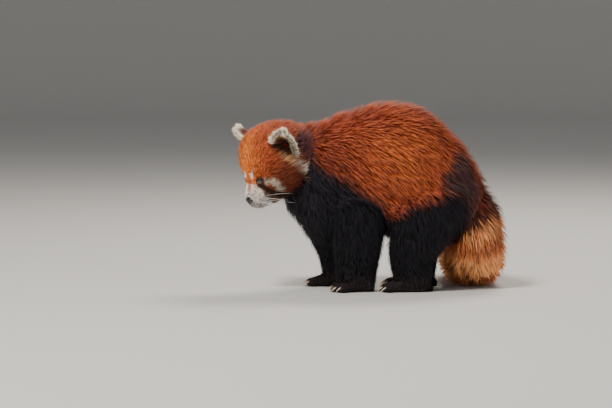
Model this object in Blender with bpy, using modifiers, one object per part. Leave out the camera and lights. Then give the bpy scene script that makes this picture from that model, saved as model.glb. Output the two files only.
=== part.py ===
"""Red panda standing on all fours, life size, its head lowered and turned to its left.

The animal faces -X, its left side is towards -Y, and +Z is up. Tables of sections are in
millimetres and give the outline of the coat out to its tips; the scene is in metres. Where the
coat is long it is made of flat, tapered locks over a core that stops half way to that outline.
"""

import math
import random
from collections import namedtuple

import bmesh
import bpy
from mathutils import Matrix, Vector

MM = 0.001
GAP = 0.3 * MM  # kept between pieces that meet on a flat face
CLEAR = 0.4 * MM  # how far a piece is grown before it trims its neighbour

# The head's middle, its turn to the left and its nod downwards
HEAD_PLACE = Vector((-180, -20, 233)) * MM
HEAD_TURN = math.radians(30)
HEAD_NOD = math.radians(36)

# Faces round each loft
TRUNK_SIDES = 26
HEAD_SIDES = 28
LEG_SIDES = 14
TAIL_SIDES = 14
FOOT_SIDES = 9
FULLNESS = 2.25  # 2 is an ellipse, and more is fuller at the corners

# A section across the trunk: where it meets the back and the underline, its half width, its middle's Y
Girth = namedtuple("Girth", "top_x top_z low_x low_z half_width middle_y")
TRUNK = (
    Girth(-93, 298, -133, 129, 59, 0),
    Girth(-51, 315, -100, 89, 74, 0),
    Girth(-5, 327, -42, 89, 82, 0),
    Girth(40, 332, 18, 102, 86, 0),
    Girth(82, 322, 71, 96, 84, 0),
    Girth(122, 291, 107, 89, 78, 0),
    Girth(155, 255, 135, 89, 66, 0),
    Girth(182, 211, 155, 93, 48, 0),
    Girth(197, 183, 170, 112, 31, 0),
    Girth(205, 168, 181, 127, 17, 0),
)
RUMP_ROUND = 4 * MM
NECK = (
    Girth(-148, 292, -163, 172, 52, -14),
    Girth(-120, 298, -149, 150, 57, -5),
    Girth(-93, 298, -133, 129, 59, 0),
)

# A level section of a leg: its front and back edges, height, middle line's Y and half width
LegCut = namedtuple("LegCut", "front back height middle_y half_width")
WRIST_HEIGHT = 30  # where a leg gives way to its paw
LEGS = {
    "foreleg_left": (
        LegCut(-88, 16, 205, -38, 24),
        LegCut(-86, 24, 165, -42, 31),
        LegCut(-78, 20, 130, -47, 34),
        LegCut(-71, 15, 98, -50, 32),
        LegCut(-69, 10, 62, -50, 28),
        LegCut(-68, 4, WRIST_HEIGHT, -50, 26),
    ),
    "foreleg_right": (
        LegCut(-112, -18, 205, 38, 24),
        LegCut(-122, -28, 165, 42, 31),
        LegCut(-122, -36, 130, 47, 34),
        LegCut(-115, -40, 98, 50, 32),
        LegCut(-101, -39, 62, 50, 28),
        LegCut(-92, -40, WRIST_HEIGHT, 50, 26),
    ),
    "hindleg_left": (
        LegCut(56, 150, 210, -36, 26),
        LegCut(40, 160, 170, -44, 35),
        LegCut(32, 156, 130, -50, 39),
        LegCut(30, 136, 95, -53, 36),
        LegCut(29, 110, 62, -54, 28),
        LegCut(34, 104, WRIST_HEIGHT, -54, 25),
    ),
    "hindleg_right": (
        LegCut(62, 152, 210, 36, 26),
        LegCut(48, 163, 170, 44, 35),
        LegCut(42, 158, 130, 50, 39),
        LegCut(42, 140, 95, 53, 36),
        LegCut(40, 122, 62, 54, 28),
        LegCut(46, 116, WRIST_HEIGHT, 54, 25),
    ),
}
SHOULDER_ROUND = 14 * MM

# A paw on the floor: its heel, the middle of its toe line, half width, and height at the instep
Paw = namedtuple("Paw", "heel_x heel_y toe_x toe_y half_width instep")
PAWS = {
    "forepaw_left": ("foreleg_left", Paw(-2, -44, -68, -64, 23, 34)),
    "forepaw_right": ("foreleg_right", Paw(-46, 49, -116, 57, 23, 34)),
    "hindpaw_left": ("hindleg_left", Paw(104, -50, 14, -60, 22, 34)),
    "hindpaw_right": ("hindleg_right", Paw(116, 50, 26, 60, 22, 34)),
}
# Along a foot: the share of its length, of its half width, and of the height of its instep
FOOT_SHAPE = ((0.0, 0.42, 0.45), (0.14, 0.68, 0.8), (0.4, 0.86, 0.92), (0.66, 1.0, 0.68), (0.86, 0.95, 0.52))
HEEL_ROUND = 5 * MM
TOES = 5
TOE_SIZE = Vector((12, 6.2, 8.5)) * MM  # half its length, width and height
TOE_FAN = math.radians(16)  # how far the outermost toes turn out
CLAW_LENGTH = 11 * MM
CLAW_THICK = 2.1 * MM  # half its height at the root
CLAW_ROOT = 7 * MM  # ahead of the middle of its toe

# The tail's middle line and the radius of its coat
TailCut = namedtuple("TailCut", "x y z radius")
TAIL = (
    TailCut(144, 0, 190, 32),
    TailCut(169, 0, 164, 38),
    TailCut(184, 1, 130, 43),
    TailCut(188, 6, 96, 46),
    TailCut(189, 28, 66, 47),
    TailCut(187, 66, 50, 47),
    TailCut(184, 110, 46, 46.5),
    TailCut(182, 154, 45, 45.5),
    TailCut(183, 198, 43, 43.5),
    TailCut(187, 240, 39, 39.5),
    TailCut(193, 274, 33, 32),
    TailCut(198, 298, 28, 22),
    TailCut(202, 314, 25, 11),
)
TAIL_PARTS = (("tail_base", 0, 3), ("tail_mid", 3, 7), ("tail_tip", 7, 12))
TAIL_END_ROUND = 2 * MM

# The head in its own frame: X forward, Y to its left, Z up from the middle of the cranium.
# Each section gives its place along X, its top, its underline and its half width.
HeadCut = namedtuple("HeadCut", "forward top low half_width")
HEAD = (
    HeadCut(-66, 20, -12, 18),
    HeadCut(-58, 38, -30, 36),
    HeadCut(-44, 52, -44, 52),
    HeadCut(-24, 62, -53, 63),
    HeadCut(-4, 66, -57, 68),
    HeadCut(14, 63, -59, 67),
    HeadCut(28, 54, -59, 59),
    HeadCut(38, 42, -58, 50),
    HeadCut(46, 28, -57, 41),
    HeadCut(53, 14, -55, 33),
    HeadCut(61, 1, -53, 27),
    HeadCut(69, -8, -50, 23),
    HeadCut(76, -15, -46, 18),
    HeadCut(81, -20, -41, 11),
)
OCCIPUT_ROUND = 7 * MM
SNOUT_ROUND = 2.5 * MM
# The bulges of the face: middle and half sizes
WHISKER_PAD = (Vector((68, 9, -33)) * MM, Vector((13, 11, 11)) * MM)
CHIN = (Vector((61, 0, -48)) * MM, Vector((11, 10, 8)) * MM)

EYE_PLACE = Vector((52, 22.5, -3)) * MM
EYE_RADIUS = 8.0 * MM
LID_THICK = 1.6 * MM
EYE_LOOK = Vector((0.72, 0.62, 0.12)).normalized()  # the way the opening of the lids faces
EYE_OPENING = Vector((7.2, 4.9)) * MM  # half its width and height

NOSE_PLACE = Vector((80, 0, -27)) * MM
NOSE_SIZE = Vector((6.5, 11, 7.5)) * MM
NOSTRIL_PLACE = Vector((5.2, 5.0, -1.2)) * MM  # from the middle of the nose
NOSTRIL_SIZE = Vector((3.6, 2.1, 1.8)) * MM

# The line of the mouth, from the middle of the lip to the corner
MOUTH = (
    Vector((80, 0, -43)) * MM,
    Vector((77, 7, -44)) * MM,
    Vector((70, 15, -43)) * MM,
    Vector((61, 21, -42)) * MM,
    Vector((51, 27, -39)) * MM,
)
MOUTH_GROOVE = 1.1 * MM

EAR_ROOT = Vector((-7, 44, 16)) * MM
EAR_UP = Vector((-0.1, 0.6, 0.79)).normalized()
EAR_FACING = Vector((0.8, 0.6, 0))
EAR_HEIGHT = 60 * MM
EAR_HALF_WIDTH = 23 * MM
EAR_CUP = 15 * MM
EAR_THICK = 3.0 * MM
EAR_ROWS = 9
EAR_COLUMNS = 10

# Long hair. Locks grow in staggered rows and lie along a form: the core's depth under the outline,
# a lock's length, width and thickness, the step between rows, how far the flow turns down the sides,
# and the places of the first and last rows.
Coat = namedtuple("Coat", "core length width thick row_step lean first last")
TRUNK_COAT = Coat(12, 98, 54, 4.8, 60, 0.75, 0.3, 7.4)
NECK_COAT = Coat(9, 54, 44, 4.2, 40, 0.45, 0.7, 1.6)
TAIL_COAT = Coat(13, 88, 50, 4.8, 58, 0.0, 0.9, 10.8)
THIGH_COAT = Coat(4, 56, 34, 3.6, 38, 0.0, 1.3, 3.0)
CHEEK_COAT = Coat(4, 40, 25, 3.2, 26, 0.0, 2.8, 5.4)
# Along a lock: the share of its length, its height over the core in shares of the core's depth, its width
LOCK_SHAPE = ((0.0, -0.6, 0.4), (0.14, 0.3, 0.85), (0.55, 0.85, 0.9), (1.0, 1.04, 0.0))
SHORT_LOCK_SHAPE = ((0.0, -1.5, 0.4), (0.16, 0.3, 0.85), (0.55, 1.0, 0.9), (1.0, 1.1, 0.0))
SPACING = 1.06  # from lock to lock in a row, in widths
COLLAR = 0.3  # a core's depth where its node starts, as a share of its depth elsewhere
DEEPEST = 0.7  # no core lies deeper than this share of its form's radius
COAT_TOP = 7 * MM  # no lock stands further than this over the outline
ROOT_MARGIN = 4 * MM
CHEEK_FADE = 6.5  # the place along the head where its core reaches the outline
CHEEK_TOP = math.radians(72)
CHEEK_LOW = math.radians(150)
THIGH_FADE = 3.6
JITTER = 0.16  # how far roots, lengths and directions vary
SEED = 4
END_MARGIN = 0.05  # locks stop this short of a form's ends
SHORTEN = 0.9  # a lock that would run past an end is shortened by steps of this
LIFT = 0.06  # how far a lock's tip stands higher or lower than the next, in shares of the core's depth
SHALLOW = 8  # a coat with its core less deep than this, in millimetres, takes the short locks' shape

MATERIALS = {
    "red_coat": ((0.36, 0.10, 0.03), 0.85),
    "orange_coat": ((0.55, 0.20, 0.05), 0.85),
    "black_coat": ((0.02, 0.017, 0.017), 0.8),
    "tail_coat": ((0.42, 0.17, 0.05), 0.85),
    "pale_coat": ((0.78, 0.68, 0.58), 0.85),
    "eye_black": ((0.012, 0.008, 0.006), 0.08),
    "nose_black": ((0.015, 0.013, 0.013), 0.4),
}


class Form:
    """A soft body: oval sections along a middle line, with smooth curves between them."""

    def __init__(self, sections, turn=None):
        self.sections = [tuple(part * MM for part in section) for section in sections]
        self.turn = turn or Matrix()

    def section(self, place):
        """The middle, upward and sideways radii at a place between 0 and the last section."""
        last = len(self.sections) - 1
        place = max(0.0, min(place, last))
        first = min(int(place), last - 1)
        near, far = self.sections[first], self.sections[first + 1]
        before = self.sections[first - 1] if first else None
        after = self.sections[first + 2] if first + 2 <= last else None
        share = place - first
        found = []
        for index in range(3):
            p1, p2 = near[index], far[index]
            p0 = before[index] if before else 2 * p1 - p2
            p3 = after[index] if after else 2 * p2 - p1
            bend = 2 * p0 - 5 * p1 + 4 * p2 - p3
            lift = 3 * (p1 - p2) + p3 - p0
            found.append(p1 + 0.5 * share * (p2 - p0 + share * (bend + share * lift)))
        return found

    def point(self, place, angle, depth=0.0):
        """A point on the surface, or at a depth under it. Angle 0 is the top, a quarter turn is +Y.

        depth is in metres, or a function that gives it from the place.
        """
        if callable(depth):
            depth = depth(place)
        middle, up, side = self.section(place)
        rise, reach = math.cos(angle), math.sin(angle)
        swell = (abs(rise) ** FULLNESS + abs(reach) ** FULLNESS) ** (-1 / FULLNESS)
        up = up * (1 - min(depth / up.length, DEEPEST))
        side = side * (1 - min(depth / side.length, DEEPEST))
        return self.turn @ (middle + (up * rise + side * reach) * swell)

    def axis(self, place, step=0.05):
        """The way the middle line runs at a place."""
        ahead = self.section(min(place + step, len(self.sections) - 1))[0]
        behind = self.section(max(place - step, 0))[0]
        return self.turn.to_3x3() @ (ahead - behind).normalized()

    def ring(self, place, sides, depth=0.0):
        return [self.point(place, math.tau * k / sides, depth) for k in range(sides)]

    def frame(self, place, angle):
        """Metres to one place along, metres to one radian round, and the surface's normal."""
        step = 0.02
        place = max(step, min(place, len(self.sections) - 1 - step))
        along = (self.point(place + step, angle) - self.point(place - step, angle)) / (2 * step)
        around = (self.point(place, angle + step) - self.point(place, angle - step)) / (2 * step)
        normal = along.cross(around).normalized()
        if normal.dot(self.point(place, angle) - self.turn @ self.section(place)[0]) < 0:
            normal = -normal
        return along, around, normal


def trunk_form(girths):
    sections = []
    for cut in girths:
        top = Vector((cut.top_x, cut.middle_y, cut.top_z))
        low = Vector((cut.low_x, cut.middle_y, cut.low_z))
        sections.append(((top + low) / 2, (top - low) / 2, Vector((0, cut.half_width, 0))))
    return Form(sections)


class Limb(Form):
    """A leg, whose sections are level."""

    def holds(self, point, margin):
        """Whether a point lies inside the leg, by at least a margin."""
        heights = [section[0].z for section in self.sections]
        if not heights[-1] < point.z < heights[0]:
            return False
        place = next(k for k in range(len(heights) - 1) if point.z >= heights[k + 1])
        place += (heights[place] - point.z) / (heights[place] - heights[place + 1])
        middle, forward, side = self.section(place)
        offset = point - middle
        reach = (offset.x / (forward.length - margin)) ** 2 + (offset.y / (side.length - margin)) ** 2
        return reach < 1


def leg_form(cuts):
    sections = []
    for cut in cuts:
        middle = Vector(((cut.front + cut.back) / 2, cut.middle_y, cut.height))
        forward = Vector(((cut.front - cut.back) / 2, 0, 0))
        sections.append((middle, forward, Vector((0, cut.half_width, 0))))
    return Limb(sections)


def tail_form():
    """The tail's sections stand square to its middle line and don't twist along it."""
    middles = [Vector(cut[:3]) for cut in TAIL]
    sections = []
    side = Vector((0, 1, 0))
    for index, cut in enumerate(TAIL):
        ahead = middles[min(index + 1, len(TAIL) - 1)]
        behind = middles[max(index - 1, 0)]
        along = (ahead - behind).normalized()
        side = (side - along * side.dot(along)).normalized()
        sections.append((middles[index], along.cross(side) * cut.radius, side * cut.radius))
    return Form(sections)


def head_matrix():
    turn_x, turn_y = math.cos(HEAD_TURN), math.sin(HEAD_TURN)
    level, drop = math.cos(HEAD_NOD), math.sin(HEAD_NOD)
    forward = Vector((-level * turn_x, -level * turn_y, -drop))
    left = Vector((turn_y, -turn_x, 0))
    up = forward.cross(left)
    return Matrix.Translation(HEAD_PLACE) @ Matrix((forward, left, up)).transposed().to_4x4()


def head_form():
    sections = []
    for cut in HEAD:
        middle = Vector((cut.forward, 0, (cut.top + cut.low) / 2))
        up = Vector((0, 0, (cut.top - cut.low) / 2))
        sections.append((middle, up, Vector((0, cut.half_width, 0))))
    return Form(sections, head_matrix())


def new_material(name):
    colour, roughness = MATERIALS[name]
    material = bpy.data.materials.new(name)
    material.use_nodes = True
    shader = material.node_tree.nodes["Principled BSDF"]
    shader.inputs["Base Color"].default_value = (*colour, 1)
    shader.inputs["Roughness"].default_value = roughness
    shader.inputs["Metallic"].default_value = 0
    return material


def new_object(name, form, collection):
    """An object from a bmesh, with its faces pointing out."""
    bmesh.ops.recalc_face_normals(form, faces=form.faces)
    mesh = bpy.data.meshes.new(name)
    form.to_mesh(mesh)
    form.free()
    thing = bpy.data.objects.new(name, mesh)
    collection.objects.link(thing)
    return thing


def span(shape, row, after):
    """Triangles between two rows of vertices, split the same way on every copy."""
    for k in range(len(row) - 1):
        shape.faces.new((row[k], row[k + 1], after[k + 1]))
        shape.faces.new((row[k], after[k + 1], after[k]))


def loft(name, form, places, sides, collection, depth=0.0, start_round=0.0, end_round=0.0):
    """A closed mesh through a form's sections, with flat or rounded ends."""
    rings = [form.ring(place, sides, depth) for place in places]
    ends = ((places[0], -start_round), (places[-1], end_round))
    caps = []
    for place, reach in ends:
        middle = form.turn @ form.section(place)[0]
        outward = form.axis(place) * reach
        ring = form.ring(place, sides, depth)
        steps = 2 if reach else 0
        bulge = []
        for step in range(1, steps + 1):
            angle = math.pi / 2 * step / (steps + 1)
            shift = outward * math.sin(angle)
            bulge.append([middle + (point - middle) * math.cos(angle) + shift for point in ring])
        caps.append((bulge, middle + outward))
    rings = caps[0][0][::-1] + rings + caps[1][0]
    shape = bmesh.new()
    rows = [[shape.verts.new(point) for point in ring] for ring in rings]
    for row, after in zip(rows, rows[1:]):
        span(shape, row + row[:1], after + after[:1])
    for row, tip in ((rows[0], caps[0][1]), (rows[-1], caps[1][1])):
        pole = shape.verts.new(tip)
        for k in range(sides):
            shape.faces.new((row[k], row[(k + 1) % sides], pole))
    return new_object(name, shape, collection)


def lock_path(form, root, strides, leans, way):
    """Places and angles along a lock's middle line, from its root through each stride."""
    place, angle = root
    path = []
    for stride, lean in zip(strides, leans):
        along, around, _normal = form.frame(place, angle)
        place += stride * math.cos(lean) * way / along.length
        angle += stride * math.sin(lean) / around.length
        path.append((place, angle))
    return path


def lock(form, coat, root, way, chance, shop):
    """A flat lock with a ridge: it leaves the core, lies along the form and ends in a point.

    root is its place and angle on the form, and way is 1 where hair runs towards the form's end.
    """
    shape_rows = LOCK_SHAPE if coat.core > SHALLOW else SHORT_LOCK_SHAPE
    length = coat.length * MM * chance.uniform(1 - JITTER, 1 + JITTER)
    width = coat.width * MM * chance.uniform(1 - JITTER / 2, 1 + JITTER / 2)
    swing = chance.uniform(-JITTER, JITTER)
    curl = chance.uniform(-JITTER, JITTER) * 3
    lift = chance.uniform(-LIFT, LIFT)
    shares = [row[0] for row in shape_rows]
    leans = [coat.lean * math.sin(root[1]) + swing + curl * share for share in shares]
    strides = [length * (share - before) for share, before in zip(shares, [0.0] + shares)]
    path = lock_path(form, root, strides, leans, way)
    while not END_MARGIN < path[-1][0] < len(form.sections) - 1 - END_MARGIN:
        strides = [stride * SHORTEN for stride in strides]
        path = lock_path(form, root, strides, leans, way)
    shape = bmesh.new()
    rows = []
    for (place, angle), lean, (share, rise, wide) in zip(path, leans, shape_rows):
        along, around, normal = form.frame(place, angle)
        forward = along.normalized() * way * math.cos(lean) + around.normalized() * math.sin(lean)
        forward = (forward - normal * forward.dot(normal)).normalized()
        across = normal.cross(forward)
        middle = form.point(place, angle, coat.core * MM * (1 - rise - lift * share))
        if not wide:
            rows.append(shape.verts.new(middle))
            continue
        half = width / 2 * wide
        thick = coat.thick * MM / 2 * min(1, wide + 0.4)
        corners = (across * half - normal * thick, normal * thick * 1.4, -across * half - normal * thick)
        rows.append([shape.verts.new(middle + corner) for corner in corners])
    shape.faces.new(rows[0])
    for row, after in zip(rows[:-1], rows[1:-1]):
        span(shape, row + row[:1], after + after[:1])
    last = rows[-2]
    for k in range(3):
        shape.faces.new((last[k], last[(k + 1) % 3], rows[-1]))
    return new_object("lock", shape, shop)


def under(coat, start):
    """The depth of a core, which is less where its node starts, before the first locks cover it."""

    def depth(place):
        return coat.core * MM * min(1, COLLAR + max(0, place - start))

    return depth


def coat_of_locks(form, coat, way, shop, covers=None):
    """Staggered rows of locks over a form. covers says whether a place and angle carries hair."""
    chance = random.Random(SEED)
    locks = []
    place = coat.first if way > 0 else coat.last
    row = 0
    while coat.first <= place <= coat.last:
        girth = form.ring(place, 24)
        around = sum((girth[k] - girth[k - 1]).length for k in range(24))
        count = max(5, round(around / (coat.width * MM * SPACING)))
        top_step = form.frame(place, 0)[0].length
        side_step = form.frame(place, math.pi / 2)[0].length
        row_step = 2 * coat.row_step * MM / (top_step + side_step)
        for index in range(count):
            angle = math.tau * (index + 0.5 * (row % 2)) / count - math.pi
            spot = place + chance.uniform(-JITTER, JITTER) * row_step
            turn = angle + chance.uniform(-JITTER, JITTER) * math.tau / count
            if covers is None or covers(spot, turn):
                locks.append(lock(form, coat, (spot, turn), way, chance, shop))
        place += way * row_step
        row += 1
    return locks


def spaced(start, stop, count):
    return [start + (stop - start) * index / (count - 1) for index in range(count)]


def ball(name, middle, half_sizes, turn, collection, segments=14, rings=8, grow=0.0):
    """An ellipsoid at a place of the turned frame."""
    shape = bmesh.new()
    bmesh.ops.create_uvsphere(shape, u_segments=segments, v_segments=rings, radius=1)
    sizes = Matrix.Diagonal((*(half + grow for half in half_sizes), 1))
    bmesh.ops.transform(shape, matrix=turn @ Matrix.Translation(middle) @ sizes, verts=shape.verts)
    return new_object(name, shape, collection)


def block(name, low, high, collection):
    shape = bmesh.new()
    bmesh.ops.create_cube(shape, size=1)
    sizes = Matrix.Diagonal((*(high - low), 1))
    bmesh.ops.transform(shape, matrix=Matrix.Translation((low + high) / 2) @ sizes, verts=shape.verts)
    return new_object(name, shape, collection)


def half_space(place, way, collection):
    """A block that fills all that lies beyond a plane."""
    across = way.orthogonal().normalized()
    turn = Matrix((way, across, way.cross(across))).transposed().to_4x4()
    shape = bmesh.new()
    bmesh.ops.create_cube(shape, size=1)
    shift = Matrix.Translation(place + way * 0.5)
    bmesh.ops.transform(shape, matrix=shift @ turn, verts=shape.verts)
    return new_object("beyond", shape, collection)


def settle(thing):
    """Turns an object's modifiers into its mesh."""
    graph = bpy.context.evaluated_depsgraph_get()
    mesh = bpy.data.meshes.new_from_object(thing.evaluated_get(graph))
    thing.modifiers.clear()
    old = thing.data
    thing.data = mesh
    bpy.data.meshes.remove(old)


def combine(thing, others, operation):
    """A Boolean with a list of objects, which are removed."""
    if not others:
        return
    group = bpy.data.collections.new("operands")
    bpy.context.scene.collection.children.link(group)
    for other in others:
        for home in list(other.users_collection):
            home.objects.unlink(other)
        group.objects.link(other)
    boolean = thing.modifiers.new(operation.lower(), "BOOLEAN")
    boolean.operation = operation
    boolean.solver = "MANIFOLD"
    boolean.operand_type = "COLLECTION"
    boolean.collection = group
    settle(thing)
    for other in others:
        mesh = other.data
        bpy.data.objects.remove(other)
        bpy.data.meshes.remove(mesh)
    bpy.data.collections.remove(group)


def keep_largest(thing):
    """Drops every closed surface of an object but the one with the most volume."""
    shape = bmesh.new()
    shape.from_mesh(thing.data)
    bmesh.ops.remove_doubles(shape, verts=shape.verts, dist=1e-7)
    unseen = set(shape.faces)
    surfaces = []
    while unseen:
        found = [unseen.pop()]
        for face in found:
            for edge in face.edges:
                for neighbour in edge.link_faces:
                    if neighbour in unseen:
                        unseen.remove(neighbour)
                        found.append(neighbour)
        surfaces.append(found)
    surfaces.sort(key=surface_volume)
    for surface in surfaces[:-1]:
        bmesh.ops.delete(shape, geom=surface, context="FACES")
    bmesh.ops.delete(shape, geom=[v for v in shape.verts if not v.link_faces], context="VERTS")
    shape.to_mesh(thing.data)
    shape.free()


def surface_volume(faces):
    total = 0.0
    for face in faces:
        corners = [corner.vert.co for corner in face.loops]
        for first, second in zip(corners[1:], corners[2:]):
            total += corners[0].dot(first.cross(second))
    return total / 6


def finish(thing, name, material, parts):
    """Names a node, gives it its finish and puts it with the parts."""
    keep_largest(thing)
    thing.name = name
    thing.data.name = name
    for home in list(thing.users_collection):
        home.objects.unlink(thing)
    parts.objects.link(thing)
    thing.data.materials.clear()
    thing.data.materials.append(material)
    thing.data.shade_smooth()
    thing.data.set_sharp_from_angle(angle=math.radians(45))
    return thing


class Sculptor:
    """Makes the pieces of the animal and the grown copies that trim their neighbours."""

    def __init__(self, parts, shop):
        self.parts = parts
        self.shop = shop
        self.trunk = trunk_form(TRUNK)
        self.neck_form = trunk_form(NECK)
        self.head_form = head_form()
        self.tail_form = tail_form()
        self.legs = {name: leg_form(cuts) for name, cuts in LEGS.items()}
        self.head_turn = head_matrix()
        self.materials = {name: new_material(name) for name in MATERIALS}

    def done(self, thing, name, material):
        return finish(thing, name, self.materials[material], self.parts)

    def trunk_core(self, depth):
        last = len(TRUNK) - 1
        places = spaced(0, last, 2 * last + 1)
        return loft("torso", self.trunk, places, TRUNK_SIDES, self.shop, depth, 0, RUMP_ROUND)

    def trunk_locks(self):
        """The locks leave the roots of the legs bare."""

        def covers(place, angle):
            root = self.trunk.point(place, angle, TRUNK_COAT.core * MM)
            return not any(leg.holds(root, ROOT_MARGIN) for leg in self.legs.values())

        return coat_of_locks(self.trunk, TRUNK_COAT, 1, self.shop, covers)

    def neck_core(self, depth):
        return loft("neck", self.neck_form, spaced(0, len(NECK) - 1, 5), TRUNK_SIDES, self.shop, depth)

    def neck_end(self, backward):
        """All that lies behind the neck's last section, or in front of it, and half the gap more."""
        middle = self.neck_form.section(len(NECK) - 1)[0]
        way = self.neck_form.axis(len(NECK) - 1) * backward
        return half_space(middle - way * GAP / 2, way, self.shop)

    def head_core(self, grow=0.0):
        """Full size at the face, and under the outline where the cheeks' locks grow."""
        last = len(HEAD) - 1
        places = spaced(0, last, int(1.4 * last) + 1)
        rounds = (OCCIPUT_ROUND + grow, SNOUT_ROUND + grow)

        def depth(place):
            return CHEEK_COAT.core * MM * min(1, max(0, CHEEK_FADE - place)) - grow

        return loft("head", self.head_form, places, HEAD_SIDES, self.shop, depth, *rounds)

    def cheek_locks(self):
        def covers(_place, angle):
            return CHEEK_TOP < abs(angle) < CHEEK_LOW

        return coat_of_locks(self.head_form, CHEEK_COAT, -1, self.shop, covers)

    def on_head(self, place, side):
        return Vector((place.x, place.y * side, place.z))

    def eye(self, side, grow=0.0):
        place = self.on_head(EYE_PLACE, side)
        radii = Vector((EYE_RADIUS,) * 3)
        return ball("eye", place, radii, self.head_turn, self.shop, 14, 8, grow)

    def lid_opening(self, side):
        """An almond prism that opens the lids in front of the eye."""
        outward = self.on_head(EYE_LOOK, side)
        across = Vector((0, 0, 1)).cross(outward).normalized()
        upward = outward.cross(across)
        middle = self.on_head(EYE_PLACE, side)
        shape = bmesh.new()
        corners = 12
        rows = []
        for reach in (2 * MM, 16 * MM):
            row = []
            for k in range(corners):
                angle = math.tau * k / corners
                width = EYE_OPENING.x * math.cos(angle)
                height = EYE_OPENING.y * math.sin(angle) * abs(math.sin(angle)) ** 0.35
                spot = middle + outward * reach + across * width + upward * height
                row.append(shape.verts.new(self.head_turn @ spot))
            rows.append(row)
        span(shape, rows[0] + rows[0][:1], rows[1] + rows[1][:1])
        shape.faces.new(rows[0])
        shape.faces.new(rows[1])
        return new_object("opening", shape, self.shop)

    def nose_solid(self, grow=0.0):
        return ball("nose", NOSE_PLACE, NOSE_SIZE, self.head_turn, self.shop, 12, 8, grow)

    def mouth_groove(self, side):
        """A thin tube along the line of the mouth."""
        sections = []
        for index, spot in enumerate(MOUTH):
            ahead = MOUTH[min(index + 1, len(MOUTH) - 1)]
            behind = MOUTH[max(index - 1, 0)]
            along = self.on_head(ahead - behind, side).normalized()
            upward = (Vector((0, 0, 1)) - along * along.z).normalized()
            middle = self.on_head(spot, side) / MM
            radius = MOUTH_GROOVE / MM
            sections.append((middle, upward * radius, along.cross(upward) * radius * 3))
        line = Form(sections, self.head_turn)
        return loft("groove", line, spaced(0, len(MOUTH) - 1, 7), 5, self.shop)

    def ear_solid(self, side, grow=0.0):
        """A cupped leaf, open to the front, thickened by Solidify."""
        upward = self.on_head(EAR_UP, side)
        facing = self.on_head(EAR_FACING, side)
        facing = (facing - upward * facing.dot(upward)).normalized()
        across = upward.cross(facing)
        root = self.on_head(EAR_ROOT, side)
        shape = bmesh.new()
        rows = []
        for row in range(EAR_ROWS + 1):
            share = row / EAR_ROWS
            half = max((EAR_HALF_WIDTH + grow) * (1 - share**2.6) ** 0.55, 2.5 * MM)
            line = []
            for column in range(EAR_COLUMNS + 1):
                sweep = 2 * column / EAR_COLUMNS - 1
                cup = EAR_CUP * (sweep * sweep * (1 - 0.55 * share) - 0.5 * (1 - share))
                spot = root + upward * (EAR_HEIGHT + grow) * share + across * half * sweep + facing * cup
                line.append(shape.verts.new(self.head_turn @ spot))
            rows.append(line)
        for row, after in zip(rows, rows[1:]):
            span(shape, row, after)
        ear = new_object("ear", shape, self.shop)
        wall = ear.modifiers.new("wall", "SOLIDIFY")
        wall.thickness = EAR_THICK + 2 * grow
        wall.offset = 0
        settle(ear)
        return ear

    def leg_core(self, name, grow=0.0):
        """Full size at the foot, and under the outline where a thigh's locks grow."""
        last = len(LEGS[name]) - 1
        places = spaced(0, last, 2 * last + 1)
        rounds = (SHOULDER_ROUND + grow, grow)
        hind = name.startswith("hind")

        def depth(place):
            return THIGH_COAT.core * MM * min(1, max(0, THIGH_FADE - place)) * hind - grow

        return loft(name, self.legs[name], places, LEG_SIDES, self.shop, depth, *rounds)

    def thigh_locks(self, name):
        """Locks down the outer side and the back of a hind leg."""
        outer = -1 if name.endswith("left") else 1

        def covers(_place, angle):
            return math.sin(angle) * outer > 0 and math.cos(angle) < 0.6

        return coat_of_locks(self.legs[name], THIGH_COAT, 1, self.shop, covers)

    def tail_core(self, start, stop, grow=0.0):
        """A length of the tail. Its open ends stand off their neighbours by half the gap."""
        places = spaced(start, stop, 2 * (stop - start) + 1)
        last = len(TAIL) - 1
        share = GAP / (40 * MM) / 2
        if start:
            places[0] += share
        if stop < last:
            places[-1] -= share
        rounds = (0 if start else grow, TAIL_END_ROUND + grow if stop == last else 0)
        sunk = under(TAIL_COAT, start or -1)
        depth = lambda place: sunk(place) - grow
        return loft("tail", self.tail_form, places, TAIL_SIDES, self.shop, depth, *rounds)

    def tail_locks(self, start, stop):
        def covers(place, _angle):
            return start <= place < stop or (place >= stop == len(TAIL) - 1)

        return coat_of_locks(self.tail_form, TAIL_COAT, 1, self.shop, covers)

    def tail_end(self, place, forward):
        """All that lies past a place of the tail, or before it, and half the gap more."""
        way = self.tail_form.axis(place) * forward
        return half_space(self.tail_form.section(place)[0] - way * GAP / 2, way, self.shop)

    def floor_cut(self):
        return block("floor", Vector((-1, -1, -0.3)), Vector((1, 1, 0)), self.shop)

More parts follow.
